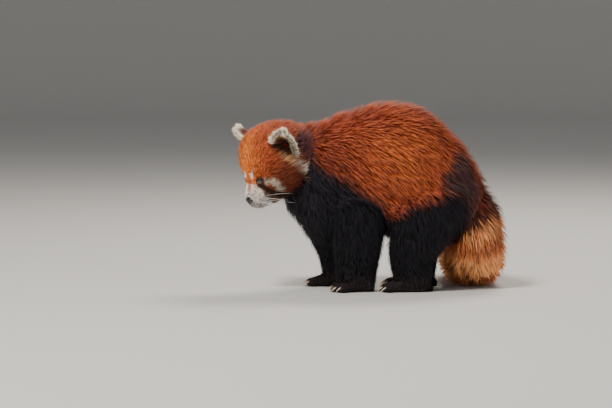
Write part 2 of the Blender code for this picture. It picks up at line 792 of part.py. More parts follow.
    def paw_solid(self, leg_name, paw):
        """The foot, its wrist, its toes and their claws."""
        heel = Vector((paw.heel_x, paw.heel_y, 0)) * MM
        toe = Vector((paw.toe_x, paw.toe_y, 0)) * MM
        ahead = (toe - heel).normalized()
        across = Vector((0, 0, 1)).cross(ahead)
        length = (toe - heel).length
        width = paw.half_width * MM
        sections = []
        for along, wide, high in FOOT_SHAPE:
            height = paw.instep * MM * high
            middle = heel + ahead * length * along + Vector((0, 0, height / 2 - 2 * MM))
            upward = Vector((0, 0, height / 2 + 2 * MM))
            sections.append((middle / MM, upward / MM, across * width * wide / MM))
        places = spaced(0, len(sections) - 1, 7)
        foot = loft("foot", Form(sections), places, FOOT_SIDES, self.shop, 0, HEEL_ROUND)
        pieces = [self.wrist(leg_name)]
        for index in range(TOES):
            sweep = 2 * index / (TOES - 1) - 1
            turn = Matrix.Rotation(TOE_FAN * sweep, 4, "Z")
            way = turn @ ahead
            reach = length * 0.86 + 6 * MM * (1 - sweep * sweep)
            spot = heel + ahead * reach + across * width * 0.84 * sweep + Vector((0, 0, 6.5 * MM))
            frame = Matrix((way, Vector((0, 0, 1)).cross(way), Vector((0, 0, 1)))).transposed().to_4x4()
            pieces.append(ball("toe", Vector(), TOE_SIZE, Matrix.Translation(spot) @ frame, self.shop, 8, 5))
            pieces.append(self.claw(spot, way))
        combine(foot, pieces, "UNION")
        return foot

    def wrist(self, leg_name):
        """The stump that carries the leg's last section down into the foot."""
        cut = LEGS[leg_name][-1]
        top = cut._replace(height=cut.height - GAP / MM)
        inset = (cut.back - cut.front) * 0.08
        ends = {"front": cut.front + inset, "back": cut.back - inset}
        low = cut._replace(height=10, half_width=cut.half_width * 0.8, **ends)
        return loft("wrist", leg_form((top, low)), (0, 1), LEG_SIDES, self.shop)

    def claw(self, toe_middle, way):
        """A curved, narrow claw out of the top of a toe's end, clear of the floor."""
        sections = []
        steps = 3
        for step in range(steps):
            share = step / (steps - 1)
            drop = Vector((0, 0, 1)) * (2.5 * MM - 6.5 * MM * share * share)
            middle = toe_middle + way * (CLAW_ROOT + CLAW_LENGTH * share) + drop
            radius = CLAW_THICK * (1 - 0.8 * share)
            lean = (Vector((0, 0, 1)) + way * share).normalized()
            side = Vector((0, 0, 1)).cross(way) * radius * 0.6
            sections.append((middle / MM, lean * radius / MM, side / MM))
        return loft("claw", Form(sections), spaced(0, steps - 1, steps), 4, self.shop)


def furred(core, locks, keep_clear):
    """A core with its locks fused to it, once they are cut clear of the neighbours' coats."""
    first, *others = locks
    combine(first, others, "UNION")
    combine(first, keep_clear, "DIFFERENCE")
    combine(core, [first], "UNION")
    return core


def build_head(maker):
    """The head, its eyes, its nose and its ears, each clear of the next."""
    turn = maker.head_turn
    around = [maker.neck_core(-COAT_TOP)] + [maker.ear_solid(side, 2 * CLEAR) for side in (1, -1)]
    head = furred(maker.head_core(), maker.cheek_locks(), around)
    bulges = [ball("chin", *CHIN, turn, maker.shop, 10, 6)]
    cuts = [maker.nose_solid(CLEAR)]
    for side in (1, -1):
        place, sizes = WHISKER_PAD
        bulges.append(ball("pad", maker.on_head(place, side), sizes, turn, maker.shop, 10, 6))
        bulges.append(maker.eye(side, LID_THICK))
        cuts.append(maker.lid_opening(side))
        cuts.append(maker.eye(side, GAP))
        cuts.append(maker.mouth_groove(side))
    combine(head, bulges, "UNION")
    combine(head, cuts, "DIFFERENCE")
    maker.done(head, "head", "orange_coat")
    nose = maker.nose_solid()
    nostrils = []
    for side in (1, -1):
        spot = NOSE_PLACE + maker.on_head(NOSTRIL_PLACE, side)
        nostrils.append(ball("nostril", spot, NOSTRIL_SIZE, turn, maker.shop, 8, 6))
    combine(nose, nostrils, "DIFFERENCE")
    maker.done(nose, "nose", "nose_black")
    for side, name in ((1, "left"), (-1, "right")):
        maker.done(maker.eye(side), "eye_" + name, "eye_black")
        ear = maker.ear_solid(side)
        combine(ear, [maker.head_core(CLEAR)], "DIFFERENCE")
        maker.done(ear, "ear_" + name, "pale_coat")


def build_trunk(maker):
    """The neck and the torso, which is hollowed where the legs and the tail grow from it."""
    locks = coat_of_locks(maker.neck_form, NECK_COAT, 1, maker.shop)
    neck = furred(maker.neck_core(under(NECK_COAT, 0)), locks, [])
    combine(neck, [maker.head_core(CLEAR), maker.neck_end(1)], "DIFFERENCE")
    maker.done(neck, "neck", "red_coat")
    torso = furred(maker.trunk_core(under(TRUNK_COAT, 0)), maker.trunk_locks(), [])
    roots = [maker.leg_core(name, CLEAR) for name in LEGS]
    roots += [maker.tail_core(0, TAIL_PARTS[0][2], CLEAR), maker.neck_end(-1)]
    combine(torso, roots, "DIFFERENCE")
    maker.done(torso, "torso", "red_coat")


def build_legs(maker):
    """The legs, whose locks keep clear of the trunk's, and the paws under them."""
    for name in LEGS:
        leg = maker.leg_core(name)
        if name.startswith("hind"):
            around = [maker.trunk_core(-COAT_TOP)]
            leg = furred(leg, maker.thigh_locks(name), around)
        combine(leg, [maker.neck_core(-COAT_TOP)], "DIFFERENCE")
        maker.done(leg, name, "black_coat")
    for name, (leg_name, paw) in PAWS.items():
        above = block("above", Vector((-1, -1, WRIST_HEIGHT * MM - GAP)), Vector((1, 1, 1)), maker.shop)
        foot = maker.paw_solid(leg_name, paw)
        combine(foot, [maker.floor_cut(), above], "DIFFERENCE")
        maker.done(foot, name, "black_coat")


def build_tail(maker):
    """The tail in three lengths, laid on the floor."""
    hind = [name for name in LEGS if name.startswith("hind")]
    for name, start, stop in TAIL_PARTS:
        around = [maker.trunk_core(-COAT_TOP)]
        for leg in hind:
            around.append(loft(leg, maker.legs[leg], spaced(0, 5, 11), LEG_SIDES, maker.shop, -COAT_TOP))
        tail = furred(maker.tail_core(start, stop), maker.tail_locks(start, stop), around)
        cuts = [maker.floor_cut()] + [maker.leg_core(leg, CLEAR) for leg in hind]
        if start:
            cuts.append(maker.tail_end(start, -1))
        if stop < len(TAIL) - 1:
            cuts.append(maker.tail_end(stop, 1))
        combine(tail, cuts, "DIFFERENCE")
        maker.done(tail, name, "tail_coat")


def centre_on_floor(parts):
    """Puts the origin under the middle of the whole animal's box."""
    corners = [vertex.co for thing in parts.objects for vertex in thing.data.vertices]
    low = Vector(min(corner[axis] for corner in corners) for axis in range(3))
    high = Vector(max(corner[axis] for corner in corners) for axis in range(3))
    shift = Vector((-(low.x + high.x) / 2, -(low.y + high.y) / 2, -low.z))
    for thing in parts.objects:
        thing.data.transform(Matrix.Translation(shift))
    return shift


def main():
    for thing in list(bpy.data.objects):
        bpy.data.objects.remove(thing)
    parts = bpy.data.collections.new("red_panda")
    shop = bpy.data.collections.new("cutters")
    for group in (parts, shop):
        bpy.context.scene.collection.children.link(group)
    maker = Sculptor(parts, shop)
    build_head(maker)
    build_trunk(maker)
    build_legs(maker)
    build_tail(maker)
    centre_on_floor(parts)


main()
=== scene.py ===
"""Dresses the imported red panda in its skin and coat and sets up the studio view.

The solids give the size and the place of every part. This script builds one smooth skin inside
them, grows tufts of hair over it with Geometry Nodes, and adds the eyes, lids, nose, whiskers and
claws. The animal faces -X and its left side is towards -Y. Tables of sections and of markings are
in millimetres, and everything else is in metres.
"""

import logging
import math
from collections.abc import Callable
from dataclasses import dataclass, field
from enum import Enum
from functools import reduce

import bmesh
import bpy
import numpy as np
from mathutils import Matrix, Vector
from mathutils.kdtree import KDTree


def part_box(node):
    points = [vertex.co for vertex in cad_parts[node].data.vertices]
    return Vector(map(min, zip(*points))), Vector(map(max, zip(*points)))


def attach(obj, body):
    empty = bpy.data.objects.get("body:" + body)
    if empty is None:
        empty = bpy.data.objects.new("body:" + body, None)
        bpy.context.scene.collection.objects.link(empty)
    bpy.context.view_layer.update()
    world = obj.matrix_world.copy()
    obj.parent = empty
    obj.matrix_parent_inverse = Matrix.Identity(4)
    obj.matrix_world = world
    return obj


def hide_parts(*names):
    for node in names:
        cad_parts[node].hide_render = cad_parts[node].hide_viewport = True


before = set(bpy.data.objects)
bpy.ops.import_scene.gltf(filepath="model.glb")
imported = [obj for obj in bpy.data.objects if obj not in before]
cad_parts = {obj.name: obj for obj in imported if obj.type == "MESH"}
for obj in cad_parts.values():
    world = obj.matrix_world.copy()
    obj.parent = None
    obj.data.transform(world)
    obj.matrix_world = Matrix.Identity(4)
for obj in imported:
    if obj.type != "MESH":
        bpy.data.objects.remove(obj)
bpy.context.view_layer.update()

log = logging.getLogger("red_panda")
MM = 0.001
BODY = "root"
# Short names for the types that most methods take
Array = np.ndarray
Material = bpy.types.Material
Mesh = bpy.types.Mesh
Socket = bpy.types.NodeSocket
Thing = bpy.types.Object

# The head's middle, its turn to the left and its nod downwards
HEAD_PLACE = np.array((-180, -20, 233)) * MM
HEAD_TURN = math.radians(30)
HEAD_NOD = math.radians(36)
FULLNESS = 2.25  # the ovals of the sections: 2 is an ellipse, and more is fuller at the corners
DEEPEST = 0.7  # no skin lies deeper than this share of its form's radius

# A section across the trunk: X and Z on the back, X and Z under the belly, half width, middle's Y
TRUNK = (
    (-93, 298, -133, 129, 59, 0),
    (-51, 315, -100, 89, 74, 0),
    (-5, 327, -42, 89, 82, 0),
    (40, 332, 18, 102, 86, 0),
    (82, 322, 71, 96, 84, 0),
    (122, 291, 107, 89, 78, 0),
    (155, 255, 135, 89, 66, 0),
    (182, 211, 155, 93, 48, 0),
    (197, 183, 170, 112, 31, 0),
    (205, 168, 181, 127, 17, 0),
)
NECK = (
    (-148, 292, -163, 172, 52, -14),
    (-120, 298, -149, 150, 57, -5),
    (-93, 298, -133, 129, 59, 0),
    (-51, 315, -100, 89, 74, 0),
)
# A level section of a leg: its front and back edges, height, middle line's Y and half width
WRIST_HEIGHT = 30
LEGS = {
    "foreleg_left": (
        (-88, 16, 205, -38, 24),
        (-86, 24, 165, -42, 31),
        (-78, 20, 130, -47, 34),
        (-71, 15, 98, -50, 32),
        (-69, 10, 62, -50, 28),
        (-68, 4, WRIST_HEIGHT, -50, 26),
        (-64, 0, 10, -51, 21),
    ),
    "foreleg_right": (
        (-112, -18, 205, 38, 24),
        (-122, -28, 165, 42, 31),
        (-122, -36, 130, 47, 34),
        (-115, -40, 98, 50, 32),
        (-101, -39, 62, 50, 28),
        (-92, -40, WRIST_HEIGHT, 50, 26),
        (-88, -44, 10, 50, 21),
    ),
    "hindleg_left": (
        (56, 150, 210, -36, 26),
        (40, 160, 170, -44, 35),
        (32, 156, 130, -50, 39),
        (30, 136, 95, -53, 36),
        (29, 110, 62, -54, 28),
        (34, 104, WRIST_HEIGHT, -54, 25),
        (40, 100, 10, -54, 20),
    ),
    "hindleg_right": (
        (62, 152, 210, 36, 26),
        (48, 163, 170, 44, 35),
        (42, 158, 130, 50, 39),
        (42, 140, 95, 53, 36),
        (40, 122, 62, 54, 28),
        (46, 116, WRIST_HEIGHT, 54, 25),
        (52, 112, 10, 54, 20),
    ),
}
# A paw on the floor: heel X and Y, the middle of its toe line X and Y, half width, instep height
PAWS = {
    "forepaw_left": (-2, -44, -68, -64, 23, 34),
    "forepaw_right": (-46, 49, -116, 57, 23, 34),
    "hindpaw_left": (104, -50, 14, -60, 22, 34),
    "hindpaw_right": (116, 50, 26, 60, 22, 34),
}
# Along a foot: the share of its length, of its half width, and of the height of its instep
FOOT_SHAPE = ((0.0, 0.42, 0.45), (0.14, 0.68, 0.8), (0.4, 0.86, 0.92), (0.66, 1.0, 0.68), (0.86, 0.95, 0.52))
TOES = 5
TOE_SIZE = np.array((12, 6.2, 8.5)) * MM
TOE_FAN = math.radians(16)
TOE_HEIGHT = 6.5 * MM
# The toes' line: its shares of the foot's length and half width, and how far it bows forward
TOE_REACH = 0.86
TOE_SPREAD = 0.84
TOE_BOW = 6 * MM
# Added to a foot's half height and taken from its middle's, so that it ends below the floor
FOOT_SINK = 2 * MM
CLAW_LENGTH = 11 * MM
CLAW_THICK = 2.1 * MM
CLAW_ROOT = 7 * MM

# The tail's middle line and the radius of its coat
TAIL = (
    (144, 0, 190, 32),
    (169, 0, 164, 38),
    (184, 1, 130, 43),
    (188, 6, 96, 46),
    (189, 28, 66, 47),
    (187, 66, 50, 47),
    (184, 110, 46, 46.5),
    (182, 154, 45, 45.5),
    (183, 198, 43, 43.5),
    (187, 240, 39, 39.5),
    (193, 274, 33, 32),
    (198, 298, 28, 22),
    (202, 314, 25, 11),
)
# The head in its own frame: forward, top, underline and half width of each section
HEAD = (
    (-66, 20, -12, 18),
    (-58, 38, -30, 36),
    (-44, 52, -44, 52),
    (-24, 62, -53, 63),
    (-4, 66, -57, 68),
    (14, 63, -59, 67),
    (28, 54, -59, 59),
    (38, 42, -58, 50),
    (46, 28, -57, 41),
    (53, 14, -55, 33),
    (61, 1, -53, 27),
    (69, -8, -50, 23),
    (76, -15, -46, 18),
    (81, -20, -41, 11),
)
EYE_PLACE = np.array((52, 22.5, -3)) * MM
EYE_RADIUS = 8.0 * MM
EYE_LOOK = np.array((0.72, 0.62, 0.12))
EYE_OPENING = np.array((7.2, 4.9)) * MM
NOSE_PLACE = np.array((80, 0, -27)) * MM
NOSE_SIZE = np.array((6.5, 11, 7.5)) * MM
NOSTRIL_PLACE = np.array((5.2, 5.0, -1.2)) * MM
MOUTH = np.array(((80, 0, -43), (77, 7, -44), (70, 15, -43), (61, 21, -42), (51, 27, -39))) * MM
MOUTH_DEPTH = 1.7 * MM
WHISKER_PAD = np.array((68, 9, -33)) * MM
CHIN = np.array((61, 0, -48)) * MM
EAR_ROOT = np.array((-7, 44, 16)) * MM
EAR_UP = np.array((-0.1, 0.6, 0.79))
EAR_FACING = np.array((0.8, 0.6, 0.0))
EAR_HEIGHT = 60 * MM
EAR_HALF_WIDTH = 23 * MM
EAR_CUP = 15 * MM

# The photograph's frame
IMAGE_WIDTH = 612
PIXELS_PER_METRE = 550
CAMERA_AIM = np.array((-122, 0, 154.5)) * MM
CAMERA_DISTANCE = 5.0
CAMERA_RISE = math.radians(4)
SENSOR_WIDTH = 36.0


class Part(Enum):
    """The parts of the body that carry different coats."""

    HEAD = 0
    EAR = 1
    NECK = 2
    TRUNK = 3
    FORELEG = 4
    HINDLEG = 5
    PAW = 6
    TAIL = 7


@dataclass(frozen=True)
class Hair:
    """How the hair of a part grows.

    length, width and height over the skin are metres, density is tufts for each square metre,
    locks is how many locks they gather in for each square metre, cling is 1 where hair keeps to
    the skin's curve, and lean is how far it turns down the sides.
    """

    length: float
    width: float
    height: float
    density: float
    locks: float
    cling: float = 1.0
    lean: float = 0.0


HAIR = {
    Part.HEAD: Hair(16 * MM, 0.75 * MM, 7.5 * MM, 0.8e6, 0.18e6, 1.0, 0.3),
    Part.EAR: Hair(10 * MM, 0.7 * MM, 3.2 * MM, 1.0e6, 0.25e6, 0.25, 0.0),
    Part.NECK: Hair(32 * MM, 1.1 * MM, 13 * MM, 0.42e6, 0.06e6, 1.0, 0.5),
    Part.TRUNK: Hair(37 * MM, 1.15 * MM, 16 * MM, 0.4e6, 0.05e6, 1.0, 0.75),
    Part.FORELEG: Hair(24 * MM, 1.1 * MM, 8.5 * MM, 0.31e6, 0.06e6, 1.0, 0.1),
    Part.HINDLEG: Hair(26 * MM, 1.15 * MM, 9 * MM, 0.3e6, 0.06e6, 1.0, 0.3),
    Part.PAW: Hair(6 * MM, 0.8 * MM, 1.8 * MM, 0.5e6, 0.25e6, 1.0, 0.0),
    Part.TAIL: Hair(34 * MM, 1.1 * MM, 16 * MM, 0.36e6, 0.045e6, 0.6, 0.0),
}


def catmull(rows: Array, place: Array) -> Array:
    """A smooth curve through rows of numbers.

    Args:
        rows: the values at whole places, one row each.
        place: fractional places, from 0 to the last row.

    Returns:
        The values at those places.
    """
    last = len(rows) - 1
    place = np.clip(place, 0, last)
    first = np.minimum(place.astype(int), last - 1)
    shape = (-1,) + (1,) * (rows.ndim - 1)
    share = (place - first).reshape(shape)
    near, far = rows[first], rows[first + 1]
    has_before = (first > 0).reshape(shape)
    has_after = (first + 2 <= last).reshape(shape)
    before = np.where(has_before, rows[np.maximum(first - 1, 0)], 2 * near - far)
    after = np.where(has_after, rows[np.minimum(first + 2, last)], 2 * far - near)
    bend = 2 * before - 5 * near + 4 * far - after
    lift = 3 * (near - far) + after - before
    return near + 0.5 * share * (far - before + share * (bend + share * lift))


def unit(vectors: Array) -> Array:
    """Vectors scaled to length 1."""
    return vectors / np.maximum(np.linalg.norm(vectors, axis=-1, keepdims=True), 1e-12)


def smooth_step(value: Array, low: float, high: float) -> Array:
    """0 below low, 1 above high, with a smooth rise between."""
    share = np.clip((value - low) / (high - low), 0, 1)
    return share * share * (3 - 2 * share)


def bump(points: Array, centre: Array, radius: float) -> Array:
    """A soft bell, 1 at a centre and fading over a radius."""
    return np.exp(-(((points - centre) ** 2).sum(-1)) / radius**2)


def line_distance(points: Array, line: Array) -> Array:
    """How far each point is from a line of straight stretches.

    Args:
        points: one row for each point.
        line: the corners of the line.

    Returns:
        One distance for each point.
    """
    nearest = np.full(len(points), np.inf)
    for start, stop in zip(line, line[1:]):
        along = stop - start
        share = np.clip((points - start) @ along / (along @ along), 0, 1)
        gap = np.linalg.norm(points - start - share[:, None] * along, axis=1)
        nearest = np.minimum(nearest, gap)
    return nearest


def mirrored(point: Array, side: int) -> Array:
    """A point of the head on its left (1) or its right (-1)."""
    return point * np.array((1, side, 1))


@dataclass
class Form:
    """A soft body of oval sections along a middle line, as in the solids.

    sections holds, for each section, its middle and its upward and sideways radii. turn and shift
    carry a form that is described in its own frame to its place.
    """

    part: Part
    sections: Array
    turn: Array = field(default_factory=lambda: np.eye(3))
    shift: Array = field(default_factory=lambda: np.zeros(3))

    @property
    def last(self) -> int:
        """The place of the last section."""
        return len(self.sections) - 1

    def local(self, place: Array, angle: Array, depth: float | Array = 0.0) -> Array:
        """Points at a depth under the outline, in the form's own frame.

        Args:
            place: where along the sections.
            angle: the turn round them, with 0 at the top.
            depth: how deep.

        Returns:
            One row for each point.
        """
        cut = catmull(self.sections, place)
        middle, up, side = cut[:, 0], cut[:, 1], cut[:, 2]
        rise, reach = np.cos(angle), np.sin(angle)
        swell = (np.abs(rise) ** FULLNESS + np.abs(reach) ** FULLNESS) ** (-1 / FULLNESS)
        up = up * (1 - np.minimum(depth / np.linalg.norm(up, axis=1), DEEPEST))[:, None]
        side = side * (1 - np.minimum(depth / np.linalg.norm(side, axis=1), DEEPEST))[:, None]
        return middle + (up * rise[:, None] + side * reach[:, None]) * swell[:, None]

    def placed(self, points: Array) -> Array:
        """Points of the form's own frame, in the animal's frame."""
        return points @ self.turn.T + self.shift

    def points(self, place: Array, angle: Array, depth: float | Array = 0.0) -> Array:
        """Points at a depth under the outline, in the animal's frame."""
        return self.placed(self.local(place, angle, depth))

    def rings(self, places: Array, sides: int, depth: Callable[[Array], Array]) -> Array:
        """Rings of points in the form's own frame.

        Args:
            places: where the rings are.
            sides: points in each ring.
            depth: gives the depth under the outline from the places.

        Returns:
            An array of rings by points by coordinates.
        """
        angles = np.arange(sides) * math.tau / sides
        place, angle = np.meshgrid(places, angles, indexing="ij")
        flat = self.local(place.ravel(), angle.ravel(), depth(place.ravel()))
        return flat.reshape(len(places), sides, 3)


def trunk_sections(table: tuple) -> Array:
    """Sections from points on the back and the belly line.

    Args:
        table: rows as in TRUNK.

    Returns:
        The sections for a form.
    """
    rows = []
    for top_x, top_z, low_x, low_z, half_width, middle_y in table:
        top = np.array((top_x, middle_y, top_z))
        low = np.array((low_x, middle_y, low_z))
        rows.append(((top + low) / 2, (top - low) / 2, np.array((0, half_width, 0))))
    return np.array(rows) * MM


def leg_sections(table: tuple) -> Array:
    """Level sections down a leg.

    Args:
        table: rows as in LEGS.

    Returns:
        The sections for a form.
    """
    rows = []
    for front, back, height, middle_y, half_width in table:
        middle = ((front + back) / 2, middle_y, height)
        rows.append((middle, ((front - back) / 2, 0, 0), (0, half_width, 0)))
    return np.array(rows) * MM


def tail_sections() -> Array:
    """Sections square to the tail's middle line, which don't twist along it.

    Returns:
        The sections for a form.
    """
    middles = np.array([cut[:3] for cut in TAIL], float)
    side = np.array((0.0, 1.0, 0.0))
    rows = []
    for index, cut in enumerate(TAIL):
        along = unit(middles[min(index + 1, len(TAIL) - 1)] - middles[max(index - 1, 0)])
        side = unit(side - along * (side @ along))
        rows.append((middles[index], np.cross(along, side) * cut[3], side * cut[3]))
    return np.array(rows) * MM


def head_sections() -> Array:
    """Sections of the head in its own frame.

    Returns:
        The sections for a form.
    """
    rows = []
    for forward, top, low, half_width in HEAD:
        rows.append(((forward, 0, (top + low) / 2), (0, 0, (top - low) / 2), (0, half_width, 0)))
    return np.array(rows) * MM


def head_axes() -> Array:
    """The head's forward, left and up axes as the columns of a turn.

    Returns:
        The turn from the head's frame to the animal's.
    """
    level, drop = math.cos(HEAD_NOD), math.sin(HEAD_NOD)
    forward = np.array((-level * math.cos(HEAD_TURN), -level * math.sin(HEAD_TURN), -drop))
    left = np.array((math.sin(HEAD_TURN), -math.cos(HEAD_TURN), 0))
    return np.stack((forward, left, np.cross(forward, left)), axis=1)


def paw_frame(name: str) -> tuple[Array, Array, Array, float]:
    """Where a paw stands.

    Args:
        name: the paw's name.

    Returns:
        Its heel, the way it points, the way across it, and its length.
    """
    heel_x, heel_y, toe_x, toe_y, _half, _instep = PAWS[name]
    heel = np.array((heel_x, heel_y, 0)) * MM
    toe = np.array((toe_x, toe_y, 0)) * MM
    ahead = unit(toe - heel)
    return heel, ahead, np.cross((0, 0, 1), ahead), float(np.linalg.norm(toe - heel))


def foot_sections(name: str) -> Array:
    """Upright sections from the heel to the toes.

    Args:
        name: the paw's name.

    Returns:
        The sections for a form.
    """
    heel, ahead, across, length = paw_frame(name)
    half_width, instep = PAWS[name][4] * MM, PAWS[name][5] * MM
    rows = []
    for along, wide, high in FOOT_SHAPE:
        middle = heel + ahead * length * along + np.array((0, 0, instep * high / 2 - FOOT_SINK))
        rows.append((middle, (0, 0, instep * high / 2 + FOOT_SINK), across * half_width * wide))
    return np.array([[np.asarray(part, float) for part in row] for row in rows])


def toe_frames(name: str) -> list[tuple[Array, Array]]:
    """Where the toes of a paw are.

    Args:
        name: the paw's name.

    Returns:
        The middle of each toe and the way it points.
    """
    heel, ahead, across, length = paw_frame(name)
    half_width = PAWS[name][4] * MM
    frames = []
    for index in range(TOES):
        sweep = 2 * index / (TOES - 1) - 1
        turn = TOE_FAN * sweep
        way = ahead * math.cos(turn) + np.cross((0, 0, 1), ahead) * math.sin(turn)
        reach = length * TOE_REACH + TOE_BOW * (1 - sweep * sweep)
        aside = across * half_width * TOE_SPREAD * sweep
        spot = heel + ahead * reach + aside + np.array((0, 0, TOE_HEIGHT))
        frames.append((spot, way))
    return frames


@dataclass
class Anatomy:
    """Every form of the body, and where the animal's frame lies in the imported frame."""

    forms: dict[str, Form] = field(default_factory=dict)
    origin: Array = field(default_factory=lambda: np.zeros(3))

    def __post_init__(self) -> None:
        """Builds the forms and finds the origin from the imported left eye."""
        axes = head_axes()
        self.forms["neck"] = Form(Part.NECK, trunk_sections(NECK))
        self.forms["trunk"] = Form(Part.TRUNK, trunk_sections(TRUNK))
        for name, table in LEGS.items():
            part = Part.FORELEG if name.startswith("fore") else Part.HINDLEG
            self.forms[name] = Form(part, leg_sections(table))
        for name in PAWS:
            self.forms[name] = Form(Part.PAW, foot_sections(name))
        self.forms["tail"] = Form(Part.TAIL, tail_sections())
        self.forms["head"] = Form(Part.HEAD, head_sections(), axes, HEAD_PLACE)
        low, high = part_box("eye_left")
        centre = (np.array(low) + np.array(high)) / 2
        self.origin = centre - self.forms["head"].placed(EYE_PLACE)

    def on_head(self, points: Array) -> Array:
        """Points of the head's frame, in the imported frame."""
        return self.forms["head"].placed(points) + self.origin

    def head_local(self, points: Array) -> Array:
        """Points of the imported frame, in the head's frame."""
        return (points - self.origin - HEAD_PLACE) @ self.forms["head"].turn


def linked(name: str, data: bpy.types.ID) -> Thing:
    """A new object in the scene.

    Args:
        name: its name.
        data: its mesh, lamp or camera.

    Returns:
        The object.
    """
    thing = bpy.data.objects.new(name, data)
    bpy.context.scene.collection.objects.link(thing)
    return thing


def remove(thing: Thing) -> None:
    """Deletes an object and its mesh."""
    mesh = thing.data
    bpy.data.objects.remove(thing)
    bpy.data.meshes.remove(mesh)


def mesh_object(name: str, points: Array, faces: list, material: Material | None = None) -> Thing:
    """A mesh object from points and faces, with its faces pointing outwards.

    Args:
        name: the object's name.
        points: one row for each vertex.
        faces: rows of vertex numbers.
        material: the finish, if it has one yet.

    Returns:
        The object, linked to the scene.
    """
    mesh = bpy.data.meshes.new(name)
    mesh.from_pydata([tuple(point) for point in points], [], faces)
    shape = bmesh.new()
    shape.from_mesh(mesh)
    bmesh.ops.remove_doubles(shape, verts=shape.verts, dist=1e-7)
    bmesh.ops.recalc_face_normals(shape, faces=shape.faces)
    shape.to_mesh(mesh)
    shape.free()
    mesh.shade_smooth()
    if material:
        mesh.materials.append(material)
    return linked(name, mesh)


def ring_faces(rows: int, sides: int, poles: bool = True) -> list[tuple[int, ...]]:
    """Faces of a tube of rings.

    Args:
        rows: how many rings.
        sides: points in each ring.
        poles: whether a pole closes each end, with its vertex after the last ring's.

    Returns:
        The vertex numbers of each face.
    """
    faces = []
    for row in range(rows - 1):
        for k in range(sides):
            after = (k + 1) % sides
            start, stop = row * sides, (row + 1) * sides
            faces.append((start + k, start + after, stop + after, stop + k))
    if poles:
        first, second = rows * sides, rows * sides + 1
        end = (rows - 1) * sides
        for k in range(sides):
            after = (k + 1) % sides
            faces.append((k, after, first))
            faces.append((end + k, end + after, second))
    return faces


def closed_rings(
    rings: Array, start_round: float, end_round: float, steps: int = 6
) -> tuple[Array, list]:
    """Points and faces of rings closed by rounded caps.

    Args:
        rings: rings by points by coordinates.
        start_round: how far the first cap stands out.
        end_round: how far the last cap stands out.
        steps: rings in each cap.

    Returns:
        The points and the faces.
    """
    caps = []
    for ring, inner, reach in ((rings[0], rings[1], start_round), (rings[-1], rings[-2], end_round)):
        middle = ring.mean(axis=0)
        outward = unit(middle - inner.mean(axis=0)) * reach
        turns = [math.pi / 2 * step / (steps + 1) for step in range(1, steps + 1)]
        bulge = [middle + (ring - middle) * math.cos(turn) + outward * math.sin(turn) for turn in turns]
        caps.append((bulge, middle + outward))
    rows = caps[0][0][::-1] + list(rings) + caps[1][0]
    points = np.concatenate(rows + [caps[0][1][None], caps[1][1][None]])
    return points, ring_faces(len(rows), rings.shape[1])


def ellipsoid(middle: Array, axes: Array, columns: int = 20, rows: int = 12) -> tuple[Array, list]:
    """An ellipsoid.

    Args:
        middle: its middle.
        axes: its half axes, one row each.
        columns: points round it.
        rows: rings between its poles.

    Returns:
        Its points and faces.
    """
    tilt = np.linspace(0, math.pi, rows + 2)[1:-1]
    turn = np.arange(columns) * math.tau / columns
    height, around = np.meshgrid(tilt, turn, indexing="ij")
    ball = (np.cos(height), np.sin(height) * np.cos(around), np.sin(height) * np.sin(around))
    ball = np.stack(ball, axis=-1)
    points = np.concatenate((ball.reshape(-1, 3), ((1, 0, 0), (-1, 0, 0))))
    return points @ axes + middle, ring_faces(rows, columns)


def evaluated(thing: Thing) -> None:
    """Turns an object's modifiers into its mesh."""
    graph = bpy.context.evaluated_depsgraph_get()
    mesh = bpy.data.meshes.new_from_object(thing.evaluated_get(graph))
    thing.modifiers.clear()
    old = thing.data
    thing.data = mesh
    bpy.data.meshes.remove(old)


def joined(things: list[Thing], name: str, material: Material | None = None) -> Thing:
    """One object with the meshes of several, which are removed.

    Args:
        things: the objects.
        name: the new object's name.
        material: its finish, if it has one yet.

    Returns:
        The new object.
    """
    shape = bmesh.new()
    for thing in things:
        shape.from_mesh(thing.data)
        remove(thing)
    mesh = bpy.data.meshes.new(name)
    shape.to_mesh(mesh)
    shape.free()
    if material:
        mesh.shade_smooth()
        mesh.materials.append(material)
    return linked(name, mesh)


def united(first: Thing, others: list[Thing]) -> None:
    """Fuses objects by a Boolean.

    Args:
        first: what the others are fused into.
        others: the others, which are removed.
    """
    group = bpy.data.collections.new("operands")
    bpy.context.scene.collection.children.link(group)
    for other in others:
        bpy.context.scene.collection.objects.unlink(other)
        group.objects.link(other)
    fuse = first.modifiers.new("fuse", "BOOLEAN")
    fuse.operation = "UNION"
    fuse.solver = "MANIFOLD"
    fuse.operand_type = "COLLECTION"
    fuse.collection = group
    evaluated(first)
    for other in others:
        remove(other)
    bpy.data.collections.remove(group)


# Round which points on the left the head's surface is pushed, how far out, and over what radius
SIDE_PUSHES = (
    (EYE_PLACE + unit(EYE_LOOK) * 6 * MM, -2.2 * MM, 9 * MM),
    (EYE_PLACE + np.array((2, -3, 15)) * MM, 1.8 * MM, 9 * MM),
    (np.array((44, 42, -16)) * MM, 1.5 * MM, 12 * MM),
    (WHISKER_PAD + np.array((4, 5, 1)) * MM, 3.0 * MM, 10 * MM),
)
# The same on the middle plane
MIDDLE_PUSHES = (
    (CHIN + np.array((8, 0, -4)) * MM, 2.4 * MM, 10 * MM),
    (np.array((66, 0, 0)) * MM, -1.5 * MM, 7 * MM),
)


# The least height of the skin over the floor
SOLE_GAP = 0.4 * MM
